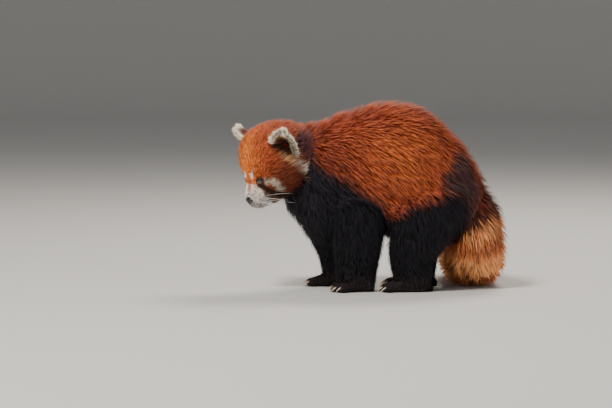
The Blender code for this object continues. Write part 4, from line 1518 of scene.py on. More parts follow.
@dataclass
class Fleece:
    """What the hair needs to know at each vertex of the skin."""

    anatomy: Anatomy
    skin: Skin
    most_triangles: int = 185000
    seen_share: float = 0.6

    def samples(self) -> Samples:
        """The forms' surfaces with their parts and the way their hair runs.

        Returns:
            The samples.
        """
        samples = Samples()
        for name, form in self.anatomy.forms.items():
            hair = HAIR[form.part]
            way = -1 if form.part is Part.HEAD else 1
            samples.add_form(form, self.skin.depth_of(name), self.anatomy.origin, hair.lean, way)
        share, sweep = np.meshgrid(np.linspace(0.06, 1, 24), np.linspace(-1, 1, 24), indexing="ij")
        share, sweep = share.ravel(), sweep.ravel()
        step = 0.02
        for side in (1, -1):
            sheet = self.anatomy.on_head(self.skin.ear_sheet(side, share, sweep))
            upward = unit(self.anatomy.on_head(self.skin.ear_sheet(side, share + step, sweep)) - sheet)
            outward = unit(self.anatomy.on_head(self.skin.ear_sheet(side, share, sweep + step)) - sheet)
            fan = (1.4 * sweep * np.abs(sweep))[:, None]
            samples.add(sheet, upward * (0.4 + share)[:, None] + outward * fan, Part.EAR, share, sweep)
        return samples

    def face_hair(self, local: Array, values: dict[str, Array], mask: Array) -> None:
        """Shortens and thickens the hair towards the muzzle and the eyes, and lengthens the nape's.

        Args:
            local: the vertices in the head's frame, in millimetres.
            values: the hair's measures, which are changed.
            mask: the vertices of the head.
        """
        canvas = Canvas(local, np.zeros(len(local)))
        face, muzzle, nape = (fade.mask(canvas) for fade in (FACE, MUZZLE, NAPE))
        eye, lid, nose = (spot.mask(canvas) for spot in (EYE_HAIR, UNDER_LIDS, UNDER_NOSE))
        cheek = sum(bump(canvas.near, np.array(centre), radius) for centre, radius in CHEEK_TUFTS)
        small = np.clip(np.maximum(face * 0.6, np.maximum(muzzle, eye)), 0, 1)
        for name, (by_small, by_cheek, by_nape) in FACE_CHANGES.items():
            change = (1 + by_small * small + by_cheek * cheek * (1 - small)) * (1 + by_nape * nape)
            values[name][mask] *= change[mask]
        values["density"][mask] *= ((1 - lid) * (1 - nose))[mask]

    def face_flow(self, local: Array, flow: Array, mask: Array) -> Array:
        """Turns the hair of the face away from the nose and around the eyes.

        Args:
            local: the vertices in the head's frame, in millimetres.
            flow: the way of the hair in the head's frame.
            mask: the vertices of the head.

        Returns:
            The changed ways.
        """
        for side in (1, -1):
            eye = mirrored(np.array((58, 27, -2)), side)
            away = unit(local - eye)
            share = np.exp(-((np.linalg.norm(local - eye, axis=1) / 15) ** 2))[:, None] * mask[:, None]
            flow = flow * (1 - 0.75 * share) + away * 0.75 * share
        low = (smooth_step(-local[:, 2], 28, 44) * smooth_step(local[:, 0], 40, 70))[:, None] * mask[:, None]
        return flow + low * np.array((-0.2, 0, -0.5))

    def write(self, thing: Thing) -> list[Tuft]:
        """Stores the hair's measures and colours on the skin.

        Args:
            thing: the skin.

        Returns:
            The shape of the tufts in each piece of the coat.
        """
        mesh = thing.data
        points, normals, edges = vertex_array(mesh), vertex_array(mesh, "normal"), edge_array(mesh)
        samples = self.samples()
        found = samples.nearest(points)
        part = np.concatenate(samples.part)[found]
        place = np.concatenate(samples.place)[found]
        angle = np.concatenate(samples.angle)[found]
        flow = np.concatenate(samples.flow)[found]
        local = self.anatomy.head_local(points) / MM
        on_head = part == Part.HEAD.value
        axes = self.anatomy.forms["head"].turn
        flow = self.face_flow(local, flow @ axes, on_head) @ axes.T
        values = {}
        for name in ("length", "width", "height", "density", "locks", "cling"):
            table = np.array([getattr(HAIR[kind], name) for kind in Part])
            values[name] = table[part]
        self.face_hair(local, values, on_head)
        self.body_hair((points - self.anatomy.origin) / MM, values, part, place, angle)
        facings = [mirrored(EAR_FACING, side) @ axes.T for side in (1, -1)]
        front = np.einsum("ij,ij->i", normals, np.where(local[:, 1:2] > 0, *facings))
        for name in values:
            values[name] = blurred(values[name], edges, 2 if name == "density" else 7)
        flow = blurred(unit(flow), edges, 12)
        flow = unit(flow - normals * np.einsum("ij,ij->i", flow, normals)[:, None])
        ahead = values["length"] * self.seen_share
        seen = points + flow * ahead[:, None]
        body, head = (seen - self.anatomy.origin) / MM, self.anatomy.head_local(seen) / MM
        tint = Markings(body, head, part, place, angle, front, ahead / MM).colours()
        for name, numbers in values.items():
            store_numbers(mesh, name, "FLOAT", numbers)
        store_numbers(mesh, "flow", "FLOAT_VECTOR", flow)
        store_numbers(mesh, "tint", "FLOAT_VECTOR", blurred(tint, edges, 1))
        zone, tufts = self.zones(mesh, part, place, values["density"])
        store_numbers(mesh, "zone", "INT", zone)
        return tufts

    def body_hair(
        self, points: Array, values: dict[str, Array], part: Array, share: Array, sweep: Array
    ) -> None:
        """Adapts the hair of the belly, rump, legs, soles and the ears' rims.

        Args:
            points: the vertices in the animal's frame, in millimetres.
            values: the hair's measures, which are changed.
            part: the part of each vertex.
            share: on an ear, the share of its height, and on a paw the place along it.
            sweep: on an ear, the place from edge to edge.
        """
        x, _y, z = points.T
        trunk, paw, ear = (part == kind.value for kind in (Part.TRUNK, Part.PAW, Part.EAR))
        legs = (part == Part.FORELEG.value) | (part == Part.HINDLEG.value)
        rim = np.maximum(smooth_step(np.abs(sweep), 0.62, 0.9), smooth_step(share, 0.7, 0.92)) * ear
        for mask, changes in (
            (smooth_step(-z, -150, -100) * trunk, {"density": -0.3}),
            (smooth_step(x, 150, 195) * trunk, {"length": -0.45}),
            (smooth_step(share, 1.6, 3.2) * paw, {"length": -0.4, "height": -0.45}),
            (smooth_step(-z, -110, -45) * legs, {"length": -0.45, "height": -0.4}),
            (smooth_step(z, 120, 180) * legs, {"length": 0.35, "height": 0.45}),
            (smooth_step(-z, -6, -2) * paw, {"density": -1.0}),
            (rim, {"length": 0.25, "height": 0.6}),
        ):
            for name, change in changes.items():
                values[name] *= 1 + change * mask

    def zones(
        self, mesh: Mesh, part: Array, place: Array, density: Array
    ) -> tuple[Array, list[Tuft]]:
        """Splits the skin into pieces of the coat that stay small enough.

        Args:
            mesh: the skin.
            part: the part of each vertex.
            place: where along its form each vertex lies.
            density: tufts for each square metre.

        Returns:
            The piece of each vertex and the shape of the tufts in each piece.
        """
        area = np.zeros(len(part))
        for face in mesh.polygons:
            for vertex in face.vertices:
                area[vertex] += face.area / len(face.vertices)
        tufts = area * density
        zone = np.zeros(len(part), int)
        shapes = []
        for parts, tuft in COAT_GROUPS:
            mask = np.isin(part, [kind.value for kind in parts])
            order = np.flatnonzero(mask)
            key = place[order] + 1000 * part[order]
            order = order[np.argsort(key, kind="stable")]
            total = tufts[order].sum()
            pieces = max(1, math.ceil(total * tuft.triangles / self.most_triangles))
            share = np.clip((np.cumsum(tufts[order]) / total * pieces).astype(int), 0, pieces - 1)
            zone[order] = share + len(shapes)
            shapes += [tuft] * pieces
        return zone, shapes


def unwrap(thing: Thing, name: str) -> None:
    """Unwraps an object's own shape.

    Args:
        thing: the object.
        name: the name of the new map.
    """
    layer = thing.data.uv_layers.new(name=name)
    thing.data.uv_layers.active = layer
    bpy.ops.object.select_all(action="DESELECT")
    bpy.context.view_layer.objects.active = thing
    thing.select_set(True)
    bpy.ops.object.mode_set(mode="EDIT")
    bpy.ops.mesh.select_all(action="SELECT")
    bpy.ops.uv.smart_project(angle_limit=math.radians(66), island_margin=0.002)
    bpy.ops.object.mode_set(mode="OBJECT")


class Graph:
    """Adds nodes to a tree and links them."""

    def __init__(self, tree: bpy.types.NodeTree) -> None:
        """Takes the tree to add to."""
        self.tree = tree

    def add(self, kind: str, *values: object, out: int | str = 0, **settings: object) -> Socket:
        """Adds a node.

        Args:
            kind: the node's type.
            values: what goes into its inputs in turn: a socket, a constant, or None to leave it.
            out: the output to return.
            settings: the node's own settings, and inputs by number as in_3.

        Returns:
            One of its outputs.
        """
        node = self.tree.nodes.new(kind)
        inputs = dict(enumerate(values))
        for name, value in settings.items():
            if name.startswith("in_"):
                inputs[int(name[3:])] = value
            else:
                setattr(node, name, value)
        for index, value in inputs.items():
            if isinstance(value, Socket):
                self.tree.links.new(value, node.inputs[index])
            elif value is not None:
                node.inputs[index].default_value = value
        return node.outputs[out]

    def interface(self, name: str, kind: str, value: object = None, output: bool = False) -> None:
        """Adds a named input or output to a group.

        Args:
            name: its name.
            kind: its type.
            value: its first value, or None to leave it.
            output: whether it's an output.
        """
        way = "OUTPUT" if output else "INPUT"
        socket = self.tree.interface.new_socket(name, in_out=way, socket_type=kind)
        if value is not None:
            socket.default_value = value

    def math(self, operation: str, *values: object) -> Socket:
        """A sum on numbers."""
        return self.add("ShaderNodeMath", *values, operation=operation)

    def times(self, *numbers: object) -> Socket:
        """Numbers multiplied in turn."""
        return reduce(lambda total, number: self.math("MULTIPLY", total, number), numbers)

    def plus(self, *numbers: object) -> Socket:
        """Numbers added in turn."""
        return reduce(lambda total, number: self.math("ADD", total, number), numbers)

    def minus(self, first: object, second: object) -> Socket:
        """One number less another."""
        return self.math("SUBTRACT", first, second)


class GeometryGraph(Graph):
    """Short ways to the nodes that the coat needs."""

    def attribute(self, name: str, kind: str = "FLOAT") -> Socket:
        """A named attribute's value."""
        return self.add("GeometryNodeInputNamedAttribute", name, data_type=kind)

    def store(
        self, geometry: Socket, name: str, value: Socket, kind: str = "FLOAT", domain: str = "POINT"
    ) -> Socket:
        """The geometry with a value of a type stored under a name, on what the domain says."""
        inputs = (geometry, None, name, value)
        return self.add("GeometryNodeStoreNamedAttribute", *inputs, data_type=kind, domain=domain)

    def vector(self, operation: str, *values: object) -> Socket:
        """A sum on vectors."""
        return self.add("ShaderNodeVectorMath", *values, operation=operation)

    def arrow(self, name: str) -> Socket:
        """A named vector attribute's value."""
        return self.attribute(name, "FLOAT_VECTOR")

    def unit(self, vector: object) -> Socket:
        """A vector scaled to length 1."""
        return self.vector("NORMALIZE", vector)

    def sum(self, *vectors: object) -> Socket:
        """Vectors added in turn."""
        return reduce(lambda total, vector: self.vector("ADD", total, vector), vectors)

    def scaled(self, vector: object, factor: object) -> Socket:
        """A vector times a number."""
        return self.add("ShaderNodeVectorMath", vector, in_3=factor, operation="SCALE")

    def dot(self, first: object, second: object) -> Socket:
        """How far two vectors agree."""
        return self.add("ShaderNodeVectorMath", first, second, operation="DOT_PRODUCT", out=1)

    def random(self, low: float, high: float, seed: int) -> Socket:
        """A seeded random number for each element."""
        return self.add("FunctionNodeRandomValue", in_2=low, in_3=high, in_8=seed, data_type="FLOAT", out=1)

    def nearest(self, mesh: Socket, value: Socket, spot: object) -> Socket:
        """A vector value of a surface, sampled at the nearest point to a spot."""
        return self.add("GeometryNodeSampleNearestSurface", mesh, value, in_3=spot, data_type="FLOAT_VECTOR")

    def scatter(self, surface: Socket, density: Socket, seed: Socket) -> Socket:
        """Points strewn over a surface at a density, by a seed."""
        return self.add("GeometryNodeDistributePointsOnFaces", surface, in_4=density, in_6=seed)


@dataclass(frozen=True)
class CoatSettings:
    """How the hair gathers in locks, strays sideways, stands over the skin and sinks at its root."""

    clump_strength: float = 0.9
    clump_power: float = 1.3
    stray: float = 0.17
    clump_stray: float = 0.3
    sink: float = 1.2 * MM
    sink_power: float = 2.2
    stand_least: float = 0.55
    stand_by_clump: float = 0.42
    stand_by_chance: float = 0.28
    stand_power: float = 0.8
    guard_share: float = 0.15
    guard_stand: float = 0.5
    patch: float = 0.003
    floor_gap: float = 0.6 * MM
    seed: int = 7


@dataclass
class Coat:
    """The coat: tufts rooted on the skin that follow its flow and gather in locks."""

    skin: Thing
    finish: Material
    settings: CoatSettings = CoatSettings()

    def tree(self) -> bpy.types.NodeTree:
        """The node tree that grows one piece of the coat.

        Returns:
            The tree, with the inputs Zone, Seed, Floor and Tuft.
        """
        tree = bpy.data.node_groups.new("Coat", "GeometryNodeTree")
        graph = GeometryGraph(tree)
        graph.interface("Geometry", "NodeSocketGeometry", output=True)
        graph.interface("Geometry", "NodeSocketGeometry")
        settings = self.settings
        graph.interface("Zone", "NodeSocketInt", 0)
        graph.interface("Seed", "NodeSocketInt", settings.seed)
        graph.interface("Floor", "NodeSocketFloat", 0.0)
        graph.interface("Tuft", "NodeSocketObject")
        group = tree.nodes.new("NodeGroupInput").outputs
        skin, zone, seed, floor = (group[name] for name in ("Geometry", "Zone", "Seed", "Floor"))

        clumps = graph.scatter(skin, graph.attribute("locks"), seed)
        own = graph.attribute("zone", "INT")
        compare = {"data_type": "INT", "operation": "EQUAL"}
        inside = graph.add("FunctionNodeCompare", in_2=own, in_3=zone, **compare)
        density = graph.times(graph.attribute("density"), inside)
        roots = graph.scatter(skin, density, graph.plus(seed, 1.0))
        position = graph.add("GeometryNodeInputPosition")
        roots = graph.store(roots, "root", position, "FLOAT_VECTOR")
        roots = graph.store(roots, "chance", graph.random(0.0, 1.0, 11))
        roots = graph.store(roots, "stray", graph.random(-1.0, 1.0, 12))
        roots = graph.store(roots, "stretch", graph.random(0.7, 1.2, 13))
        nearest = graph.add("GeometryNodeSampleNearest", clumps, position)
        clump = graph.add("GeometryNodeSampleIndex", clumps, position, nearest, data_type="FLOAT_VECTOR")
        roots = graph.store(roots, "clump", clump, "FLOAT_VECTOR")
        chance = graph.random(0.0, 1.0, 14)
        chance = graph.add("GeometryNodeSampleIndex", clumps, chance, nearest, data_type="FLOAT")
        roots = graph.store(roots, "clump_chance", chance)

        blade = graph.add("GeometryNodeObjectInfo", group["Tuft"], out="Geometry")
        hair = graph.add("GeometryNodeInstanceOnPoints", roots, None, blade)
        hair = graph.add("GeometryNodeRealizeInstances", hair)
        hair = self.bend(graph, hair, skin, floor)
        spread = graph.vector("SUBTRACT", graph.arrow("TuftPatch"), (0.5, 0.5, 0.0))
        spread = graph.scaled(spread, settings.patch)
        patch = graph.sum(graph.arrow("unwrap"), spread)
        hair = graph.store(hair, "OFBake", patch, "FLOAT2", "CORNER")
        hair = graph.add("GeometryNodeSetShadeSmooth", hair)
        hair = graph.add("GeometryNodeSetMaterial", hair, None, self.finish)
        tree.links.new(hair, tree.nodes.new("NodeGroupOutput").inputs[0])
        return tree

    def bend(self, graph: GeometryGraph, hair: Socket, skin: Socket, floor: Socket) -> Socket:
        """Lays every tuft along the flow, over the skin's curve.

        Args:
            graph: the tree.
            hair: the tufts, all at the origin.
            skin: the surface they follow.
            floor: the lowest Z that they reach.

        Returns:
            The tufts in place.
        """
        settings = self.settings
        along, root, chance = graph.attribute("along"), graph.arrow("root"), graph.attribute("chance")
        clump_chance, width = graph.attribute("clump_chance"), graph.attribute("width")
        flow, normal = graph.unit(graph.arrow("flow")), graph.add("GeometryNodeInputNormal")
        root_normal = graph.nearest(skin, normal, root)
        across = graph.unit(graph.vector("CROSS_PRODUCT", root_normal, flow))
        stray = graph.times(graph.attribute("stray"), settings.stray)
        stray = graph.plus(stray, graph.times(graph.minus(clump_chance, 0.5), settings.clump_stray))
        way = graph.unit(graph.sum(flow, graph.scaled(across, stray)))
        reach = graph.times(graph.attribute("length"), graph.attribute("stretch"), along)
        gather = graph.dot(graph.vector("SUBTRACT", graph.arrow("clump"), root), across)
        pull = graph.times(graph.math("POWER", along, settings.clump_power), settings.clump_strength)
        path = graph.sum(root, graph.scaled(way, reach), graph.scaled(graph.scaled(across, gather), pull))
        under = graph.nearest(skin, graph.add("GeometryNodeInputPosition"), path)
        upward = graph.unit(graph.nearest(skin, normal, path))
        guard = graph.math("GREATER_THAN", chance, 1 - settings.guard_share)
        vary = graph.plus(
            graph.times(clump_chance, settings.stand_by_clump),
            settings.stand_least,
            graph.times(chance, settings.stand_by_chance),
            graph.times(guard, settings.guard_stand),
        )
        lift = graph.math("POWER", along, settings.stand_power)
        rest = graph.math("POWER", graph.minus(1.0, along), settings.sink_power)
        height = graph.times(graph.attribute("height"), vary, lift)
        height = graph.minus(height, graph.times(rest, settings.sink))
        clung = graph.sum(under, graph.scaled(upward, height))
        loose = graph.sum(path, graph.scaled(root_normal, height))
        cling = graph.attribute("cling")
        spot = graph.add("ShaderNodeMix", cling, in_4=loose, in_5=clung, data_type="VECTOR", out=1)
        breadth = graph.times(width, graph.attribute("breadth"))
        rise = graph.times(width, graph.attribute("ridge"))
        spot = graph.sum(spot, graph.scaled(across, breadth), graph.scaled(upward, rise))
        low = graph.add("ShaderNodeCombineXYZ", -100.0, -100.0, floor)
        spot = graph.vector("MAXIMUM", spot, low)
        hair = graph.store(hair, "lay", upward, "FLOAT_VECTOR")
        return graph.add("GeometryNodeSetPosition", hair, None, spot)

    def grow(self, tufts: list[Tuft]) -> list[Thing]:
        """Grows every piece of the coat.

        Args:
            tufts: the shape of the tufts in each piece.

        Returns:
            The pieces, as plain meshes.
        """
        shapes = {tuft: tuft.build() for tuft in set(tufts)}
        tree = self.tree()
        inputs = {item.name: item.identifier for item in tree.interface.items_tree if item.in_out == "INPUT"}
        kept = {"tint", "along", "chance", "clump_chance", "lay", "OFBake"}
        pieces = []
        for zone, tuft in enumerate(tufts):
            piece = linked(f"coat_{zone + 1:02d}", self.skin.data)
            modifier = piece.modifiers.new("coat", "NODES")
            modifier.node_group = tree
            modifier[inputs["Zone"]] = zone
            modifier[inputs["Seed"]] = self.settings.seed
            modifier[inputs["Floor"]] = self.settings.floor_gap
            modifier[inputs["Tuft"]] = shapes[tuft]
            graph = bpy.context.evaluated_depsgraph_get()
            mesh = bpy.data.meshes.new_from_object(
                piece.evaluated_get(graph), preserve_all_data_layers=True, depsgraph=graph
            )
            piece.modifiers.clear()
            piece.data = mesh
            mesh.name = piece.name
            mesh.materials.clear()
            mesh.materials.append(self.finish)
            for name in [layer.name for layer in mesh.attributes]:
                layer = mesh.attributes.get(name)
                if name not in kept and not layer.is_internal and not layer.is_required:
                    mesh.attributes.remove(layer)
            pieces.append(piece)
            log.info("%s: %d triangles", piece.name, sum(len(face.vertices) - 2 for face in mesh.polygons))
        for shape in shapes.values():
            bpy.data.objects.remove(shape)
        return pieces


class ShaderGraph(Graph):
    """Short ways to the nodes that the finishes need."""

    def attribute(self, name: str, out: int | str = "Fac") -> Socket:
        """A mesh attribute: its number as Fac or its vector as Vector."""
        return self.add("ShaderNodeAttribute", attribute_name=name, out=out)

    def mix(self, share: object, first: object, second: object, blend: str = "MIX") -> Socket:
        """A mix of two colours."""
        settings = {"data_type": "RGBA", "blend_type": blend, "out": 2}
        return self.add("ShaderNodeMix", share, in_6=first, in_7=second, **settings)

    def noise(self, scale: float, detail: float = 3.0) -> Socket:
        """Noise in the object's own space."""
        spot = self.add("ShaderNodeTexCoord", out="Object")
        return self.add("ShaderNodeTexNoise", spot, in_2=scale, in_3=detail)

    def bump(self, height: Socket, strength: float, distance: float) -> Socket:
        """A normal raised by a height."""
        return self.add("ShaderNodeBump", strength, distance, in_3=height)


def new_material(name: str) -> tuple[Material, ShaderGraph, bpy.types.Node]:
    """A material with its graph and its Principled shader.

    Args:
        name: its name.

    Returns:
        The material, its graph and its shader.
    """
    material = bpy.data.materials.new(name)
    material.use_nodes = True
    return material, ShaderGraph(material.node_tree), material.node_tree.nodes["Principled BSDF"]


def colour(rgb: tuple) -> tuple:
    """A colour with full opacity."""
    return (*rgb, 1.0)


@dataclass
class Finishes:
    """Every material of the animal and its floor."""

    def hair_tone(self) -> bpy.types.NodeTree:
        """A group that darkens hair towards its root, partly for its dark underfur and partly as painted
        shade between the hairs, adds a painted sheen near some tips, and varies it from lock to lock.

        Returns:
            The group.
        """
        tree = bpy.data.node_groups.new("HairTone", "ShaderNodeTree")
        graph = ShaderGraph(tree)
        graph.interface("Color", "NodeSocketColor", output=True)
        graph.interface("Roughness", "NodeSocketFloat", output=True)
        inputs = (
            ("Tint", "NodeSocketColor", (0.5, 0.5, 0.5, 1)),
            ("Along", "NodeSocketFloat", 0.5),
            ("Chance", "NodeSocketFloat", 0.5),
            ("Clump", "NodeSocketFloat", 0.5),
            ("Root Shade", "NodeSocketFloat", 0.85),
            ("Tip Lift", "NodeSocketFloat", 0.3),
            ("Variation", "NodeSocketFloat", 0.85),
        )
        for name, kind, value in inputs:
            graph.interface(name, kind, value)
        group = tree.nodes.new("NodeGroupInput").outputs
        chance = graph.minus(group["Chance"], 0.5)
        clump = graph.minus(group["Clump"], 0.5)
        vary = graph.plus(chance, graph.times(clump, 1.3))
        vary = graph.times(vary, group["Variation"])
        # Darker roots: partly the dark underfur, partly painted shade down between the hairs; pale hair gets
        # less of it
        pale = graph.add("ShaderNodeSeparateColor", group["Tint"], out=1)
        depth = graph.minus(1.0, graph.times(pale, 0.75))
        shade = graph.minus(1.0, graph.times(group["Root Shade"], depth))
        lift = graph.add("ShaderNodeMapRange", group["Along"], 0.1, 0.9, shade, 1.0)
        tip = graph.times(graph.math("POWER", group["Along"], 4.0), group["Tip Lift"])
        # Some tufts, by chance, darkened: partly darker hairs, partly painted shade of the gaps between
        # locks
        shade_fleck = graph.times(graph.math("LESS_THAN", group["Chance"], 0.16), -0.6)
        level = graph.times(lift, graph.plus(graph.plus(vary, shade_fleck), 1.0))
        level = graph.plus(graph.math("MAXIMUM", level, 0.02), tip)
        hue = graph.plus(graph.times(chance, 0.022), 0.5)
        pure = graph.minus(1.0, graph.times(tip, 0.5))
        toned = graph.add("ShaderNodeHueSaturation", hue, pure, level, 1.0, group["Tint"])
        # Painted sheen: a faint blue-grey added towards the tips of some hairs
        glint = graph.math("POWER", graph.times(group["Chance"], group["Along"]), 2.0)
        toned = graph.mix(glint, toned, colour((0.017, 0.016, 0.021)), "ADD")
        rough = graph.add("ShaderNodeMapRange", group["Chance"], 0.0, 1.0, 0.5, 0.68)
        result = tree.nodes.new("NodeGroupOutput").inputs
        tree.links.new(toned, result[0])
        tree.links.new(rough, result[1])
        return tree

    def toned(self, name: str, tone: bpy.types.NodeTree) -> tuple:
        """A material whose colour is the skin's tint, shaded as hair.

        Args:
            name: its name.
            tone: the group that shades it.

        Returns:
            The material, its graph, its shader and the group's node.
        """
        material, graph, shader = new_material(name)
        group = graph.tree.nodes.new("ShaderNodeGroup")
        group.node_tree = tone
        graph.tree.links.new(graph.attribute("tint", "Vector"), group.inputs["Tint"])
        graph.tree.links.new(group.outputs["Color"], shader.inputs["Base Color"])
        shader.inputs["Specular IOR Level"].default_value = 0.15
        return material, graph, shader, group

    def coat(self, tone: bpy.types.NodeTree) -> Material:
        """The hair.

        Args:
            tone: the group that shades it.

        Returns:
            The material.
        """
        material, graph, shader, group = self.toned("coat", tone)
        links = graph.tree.links
        for name, source in (("Along", "along"), ("Chance", "chance"), ("Clump", "clump_chance")):
            links.new(graph.attribute(source), group.inputs[name])
        links.new(group.outputs["Roughness"], shader.inputs["Roughness"])
        facing = graph.add("ShaderNodeNewGeometry", out="Normal")
        lay = graph.attribute("lay", "Vector")
        soft = graph.add("ShaderNodeMix", 0.4, in_4=facing, in_5=lay, data_type="VECTOR", out=1)
        links.new(graph.add("ShaderNodeVectorMath", soft, operation="NORMALIZE"), shader.inputs["Normal"])
        return material

    def skin(self, tone: bpy.types.NodeTree) -> Material:
        """The undercoat and the short velvet between the tufts, darkened like the hair's roots: partly dark
        underfur and partly painted shade under the coat.

        Args:
            tone: the group that shades it.

        Returns:
            The material.
        """
        material, graph, shader, group = self.toned("skin", tone)
        links = graph.tree.links
        links.new(graph.noise(900.0), group.inputs["Chance"])
        links.new(graph.noise(260.0), group.inputs["Clump"])
        # Read as hair near its root, so it takes the painted root shade as well as the underfur's dark
        group.inputs["Along"].default_value = 0.25
        links.new(graph.bump(graph.noise(1400.0, 4.0), 0.5, 0.6 * MM), shader.inputs["Normal"])
        shader.inputs["Roughness"].default_value = 0.85
        return material

    def eye(self) -> Material:
        """A wet, dark brown eye, a little lighter round its pupil.

        Returns:
            The material.
        """
        material, graph, shader = new_material("eye")
        ring = graph.attribute("ring")
        iris = graph.add("ShaderNodeMapRange", ring, 0.22, 0.3, 0.0, 1.0)
        edge = graph.add("ShaderNodeMapRange", ring, 0.5, 0.62, 0.0, 1.0)
        brown = graph.mix(iris, colour((0.001, 0.001, 0.001)), colour((0.028, 0.010, 0.004)))
        brown = graph.mix(edge, brown, colour((0.004, 0.003, 0.003)))
        graph.tree.links.new(brown, shader.inputs["Base Color"])
        wet = {"Coat Weight": 1.0, "Coat IOR": 1.7, "Coat Roughness": 0.02}
        for name, value in {"Roughness": 0.12, "Specular IOR Level": 0.5, **wet}.items():
            shader.inputs[name].default_value = value
        return material

    def plain(
        self,
        name: str,
        rgb: tuple,
        roughness: float,
        grain: float = 0.0,
        depth: float = 0.2 * MM,
        coat: float = 0.0,
    ) -> Material:
        """A plain finish with a fine grain.

        Args:
            name: the material's name.
            rgb: its colour as linear light.
            roughness: its roughness.
            grain: the scale of the grain, or 0 for none.
            depth: how deep the grain is.
            coat: the weight of a wet film over it.

        Returns:
            The material.
        """
        material, graph, shader = new_material(name)
        shader.inputs["Base Color"].default_value = colour(rgb)
        shader.inputs["Roughness"].default_value = roughness
        shader.inputs["Coat Weight"].default_value = coat
        shader.inputs["Coat Roughness"].default_value = 0.2
        if grain:
            graph.tree.links.new(graph.bump(graph.noise(grain), 0.6, depth), shader.inputs["Normal"])
        return material

    def claw(self) -> Material:
        """Horn, ivory at the tip and pinkish at the root.

        Returns:
            The material.
        """
        material, graph, shader = new_material("claw")
        tone = graph.mix(graph.attribute("along"), colour((0.42, 0.27, 0.20)), colour((0.80, 0.70, 0.56)))
        graph.tree.links.new(tone, shader.inputs["Base Color"])
        graph.tree.links.new(graph.bump(graph.noise(1100.0), 0.3, 0.1 * MM), shader.inputs["Normal"])
        shader.inputs["Roughness"].default_value = 0.32
        shader.inputs["Subsurface Weight"].default_value = 0.1
        return material


UPWARD = np.array((0, 0, 1))


def tube(name: str, path: Array, radii: Array, sides: int, material: Material, flat: float = 1.0) -> Thing:
    """A tapered tube along a path.

    Args:
        name: the object's name.
        path: its middle line.
        radii: its radius at each point of the path.
        sides: faces round it.
        material: its finish.
        flat: how wide it is against its height.

    Returns:
        The tube, with an attribute "along" that runs from 0 to 1.
    """
    rows = []
    turns = np.arange(sides) * math.tau / sides
    for index, spot in enumerate(path):
        along = unit(path[min(index + 1, len(path) - 1)] - path[max(index - 1, 0)])
        side = unit(np.cross(along, UPWARD))
        upward = np.cross(side, along)
        ring = np.cos(turns)[:, None] * upward + flat * np.sin(turns)[:, None] * side
        rows.append(spot + radii[index] * ring)
    points = np.concatenate(rows + [path[:1], path[-1:]])
    thing = mesh_object(name, points, ring_faces(len(path), sides), material)
    shares = np.concatenate((np.repeat(np.linspace(0, 1, len(path)), sides), (0, 1)))
    if len(thing.data.vertices) == len(shares):
        store_numbers(thing.data, "along", "FLOAT", shares)
    return thing


# The lids' rims in section: an angle out from the opening's edge, and a radius in millimetres
LID_SECTION = (
    (-0.07, 7.7),
    (-0.02, 8.2),
    (0.03, 8.55),
    (0.1, 8.8),
    (0.22, 8.9),
    (0.4, 8.8),
    (0.62, 8.5),
    (0.8, 8.0),
)


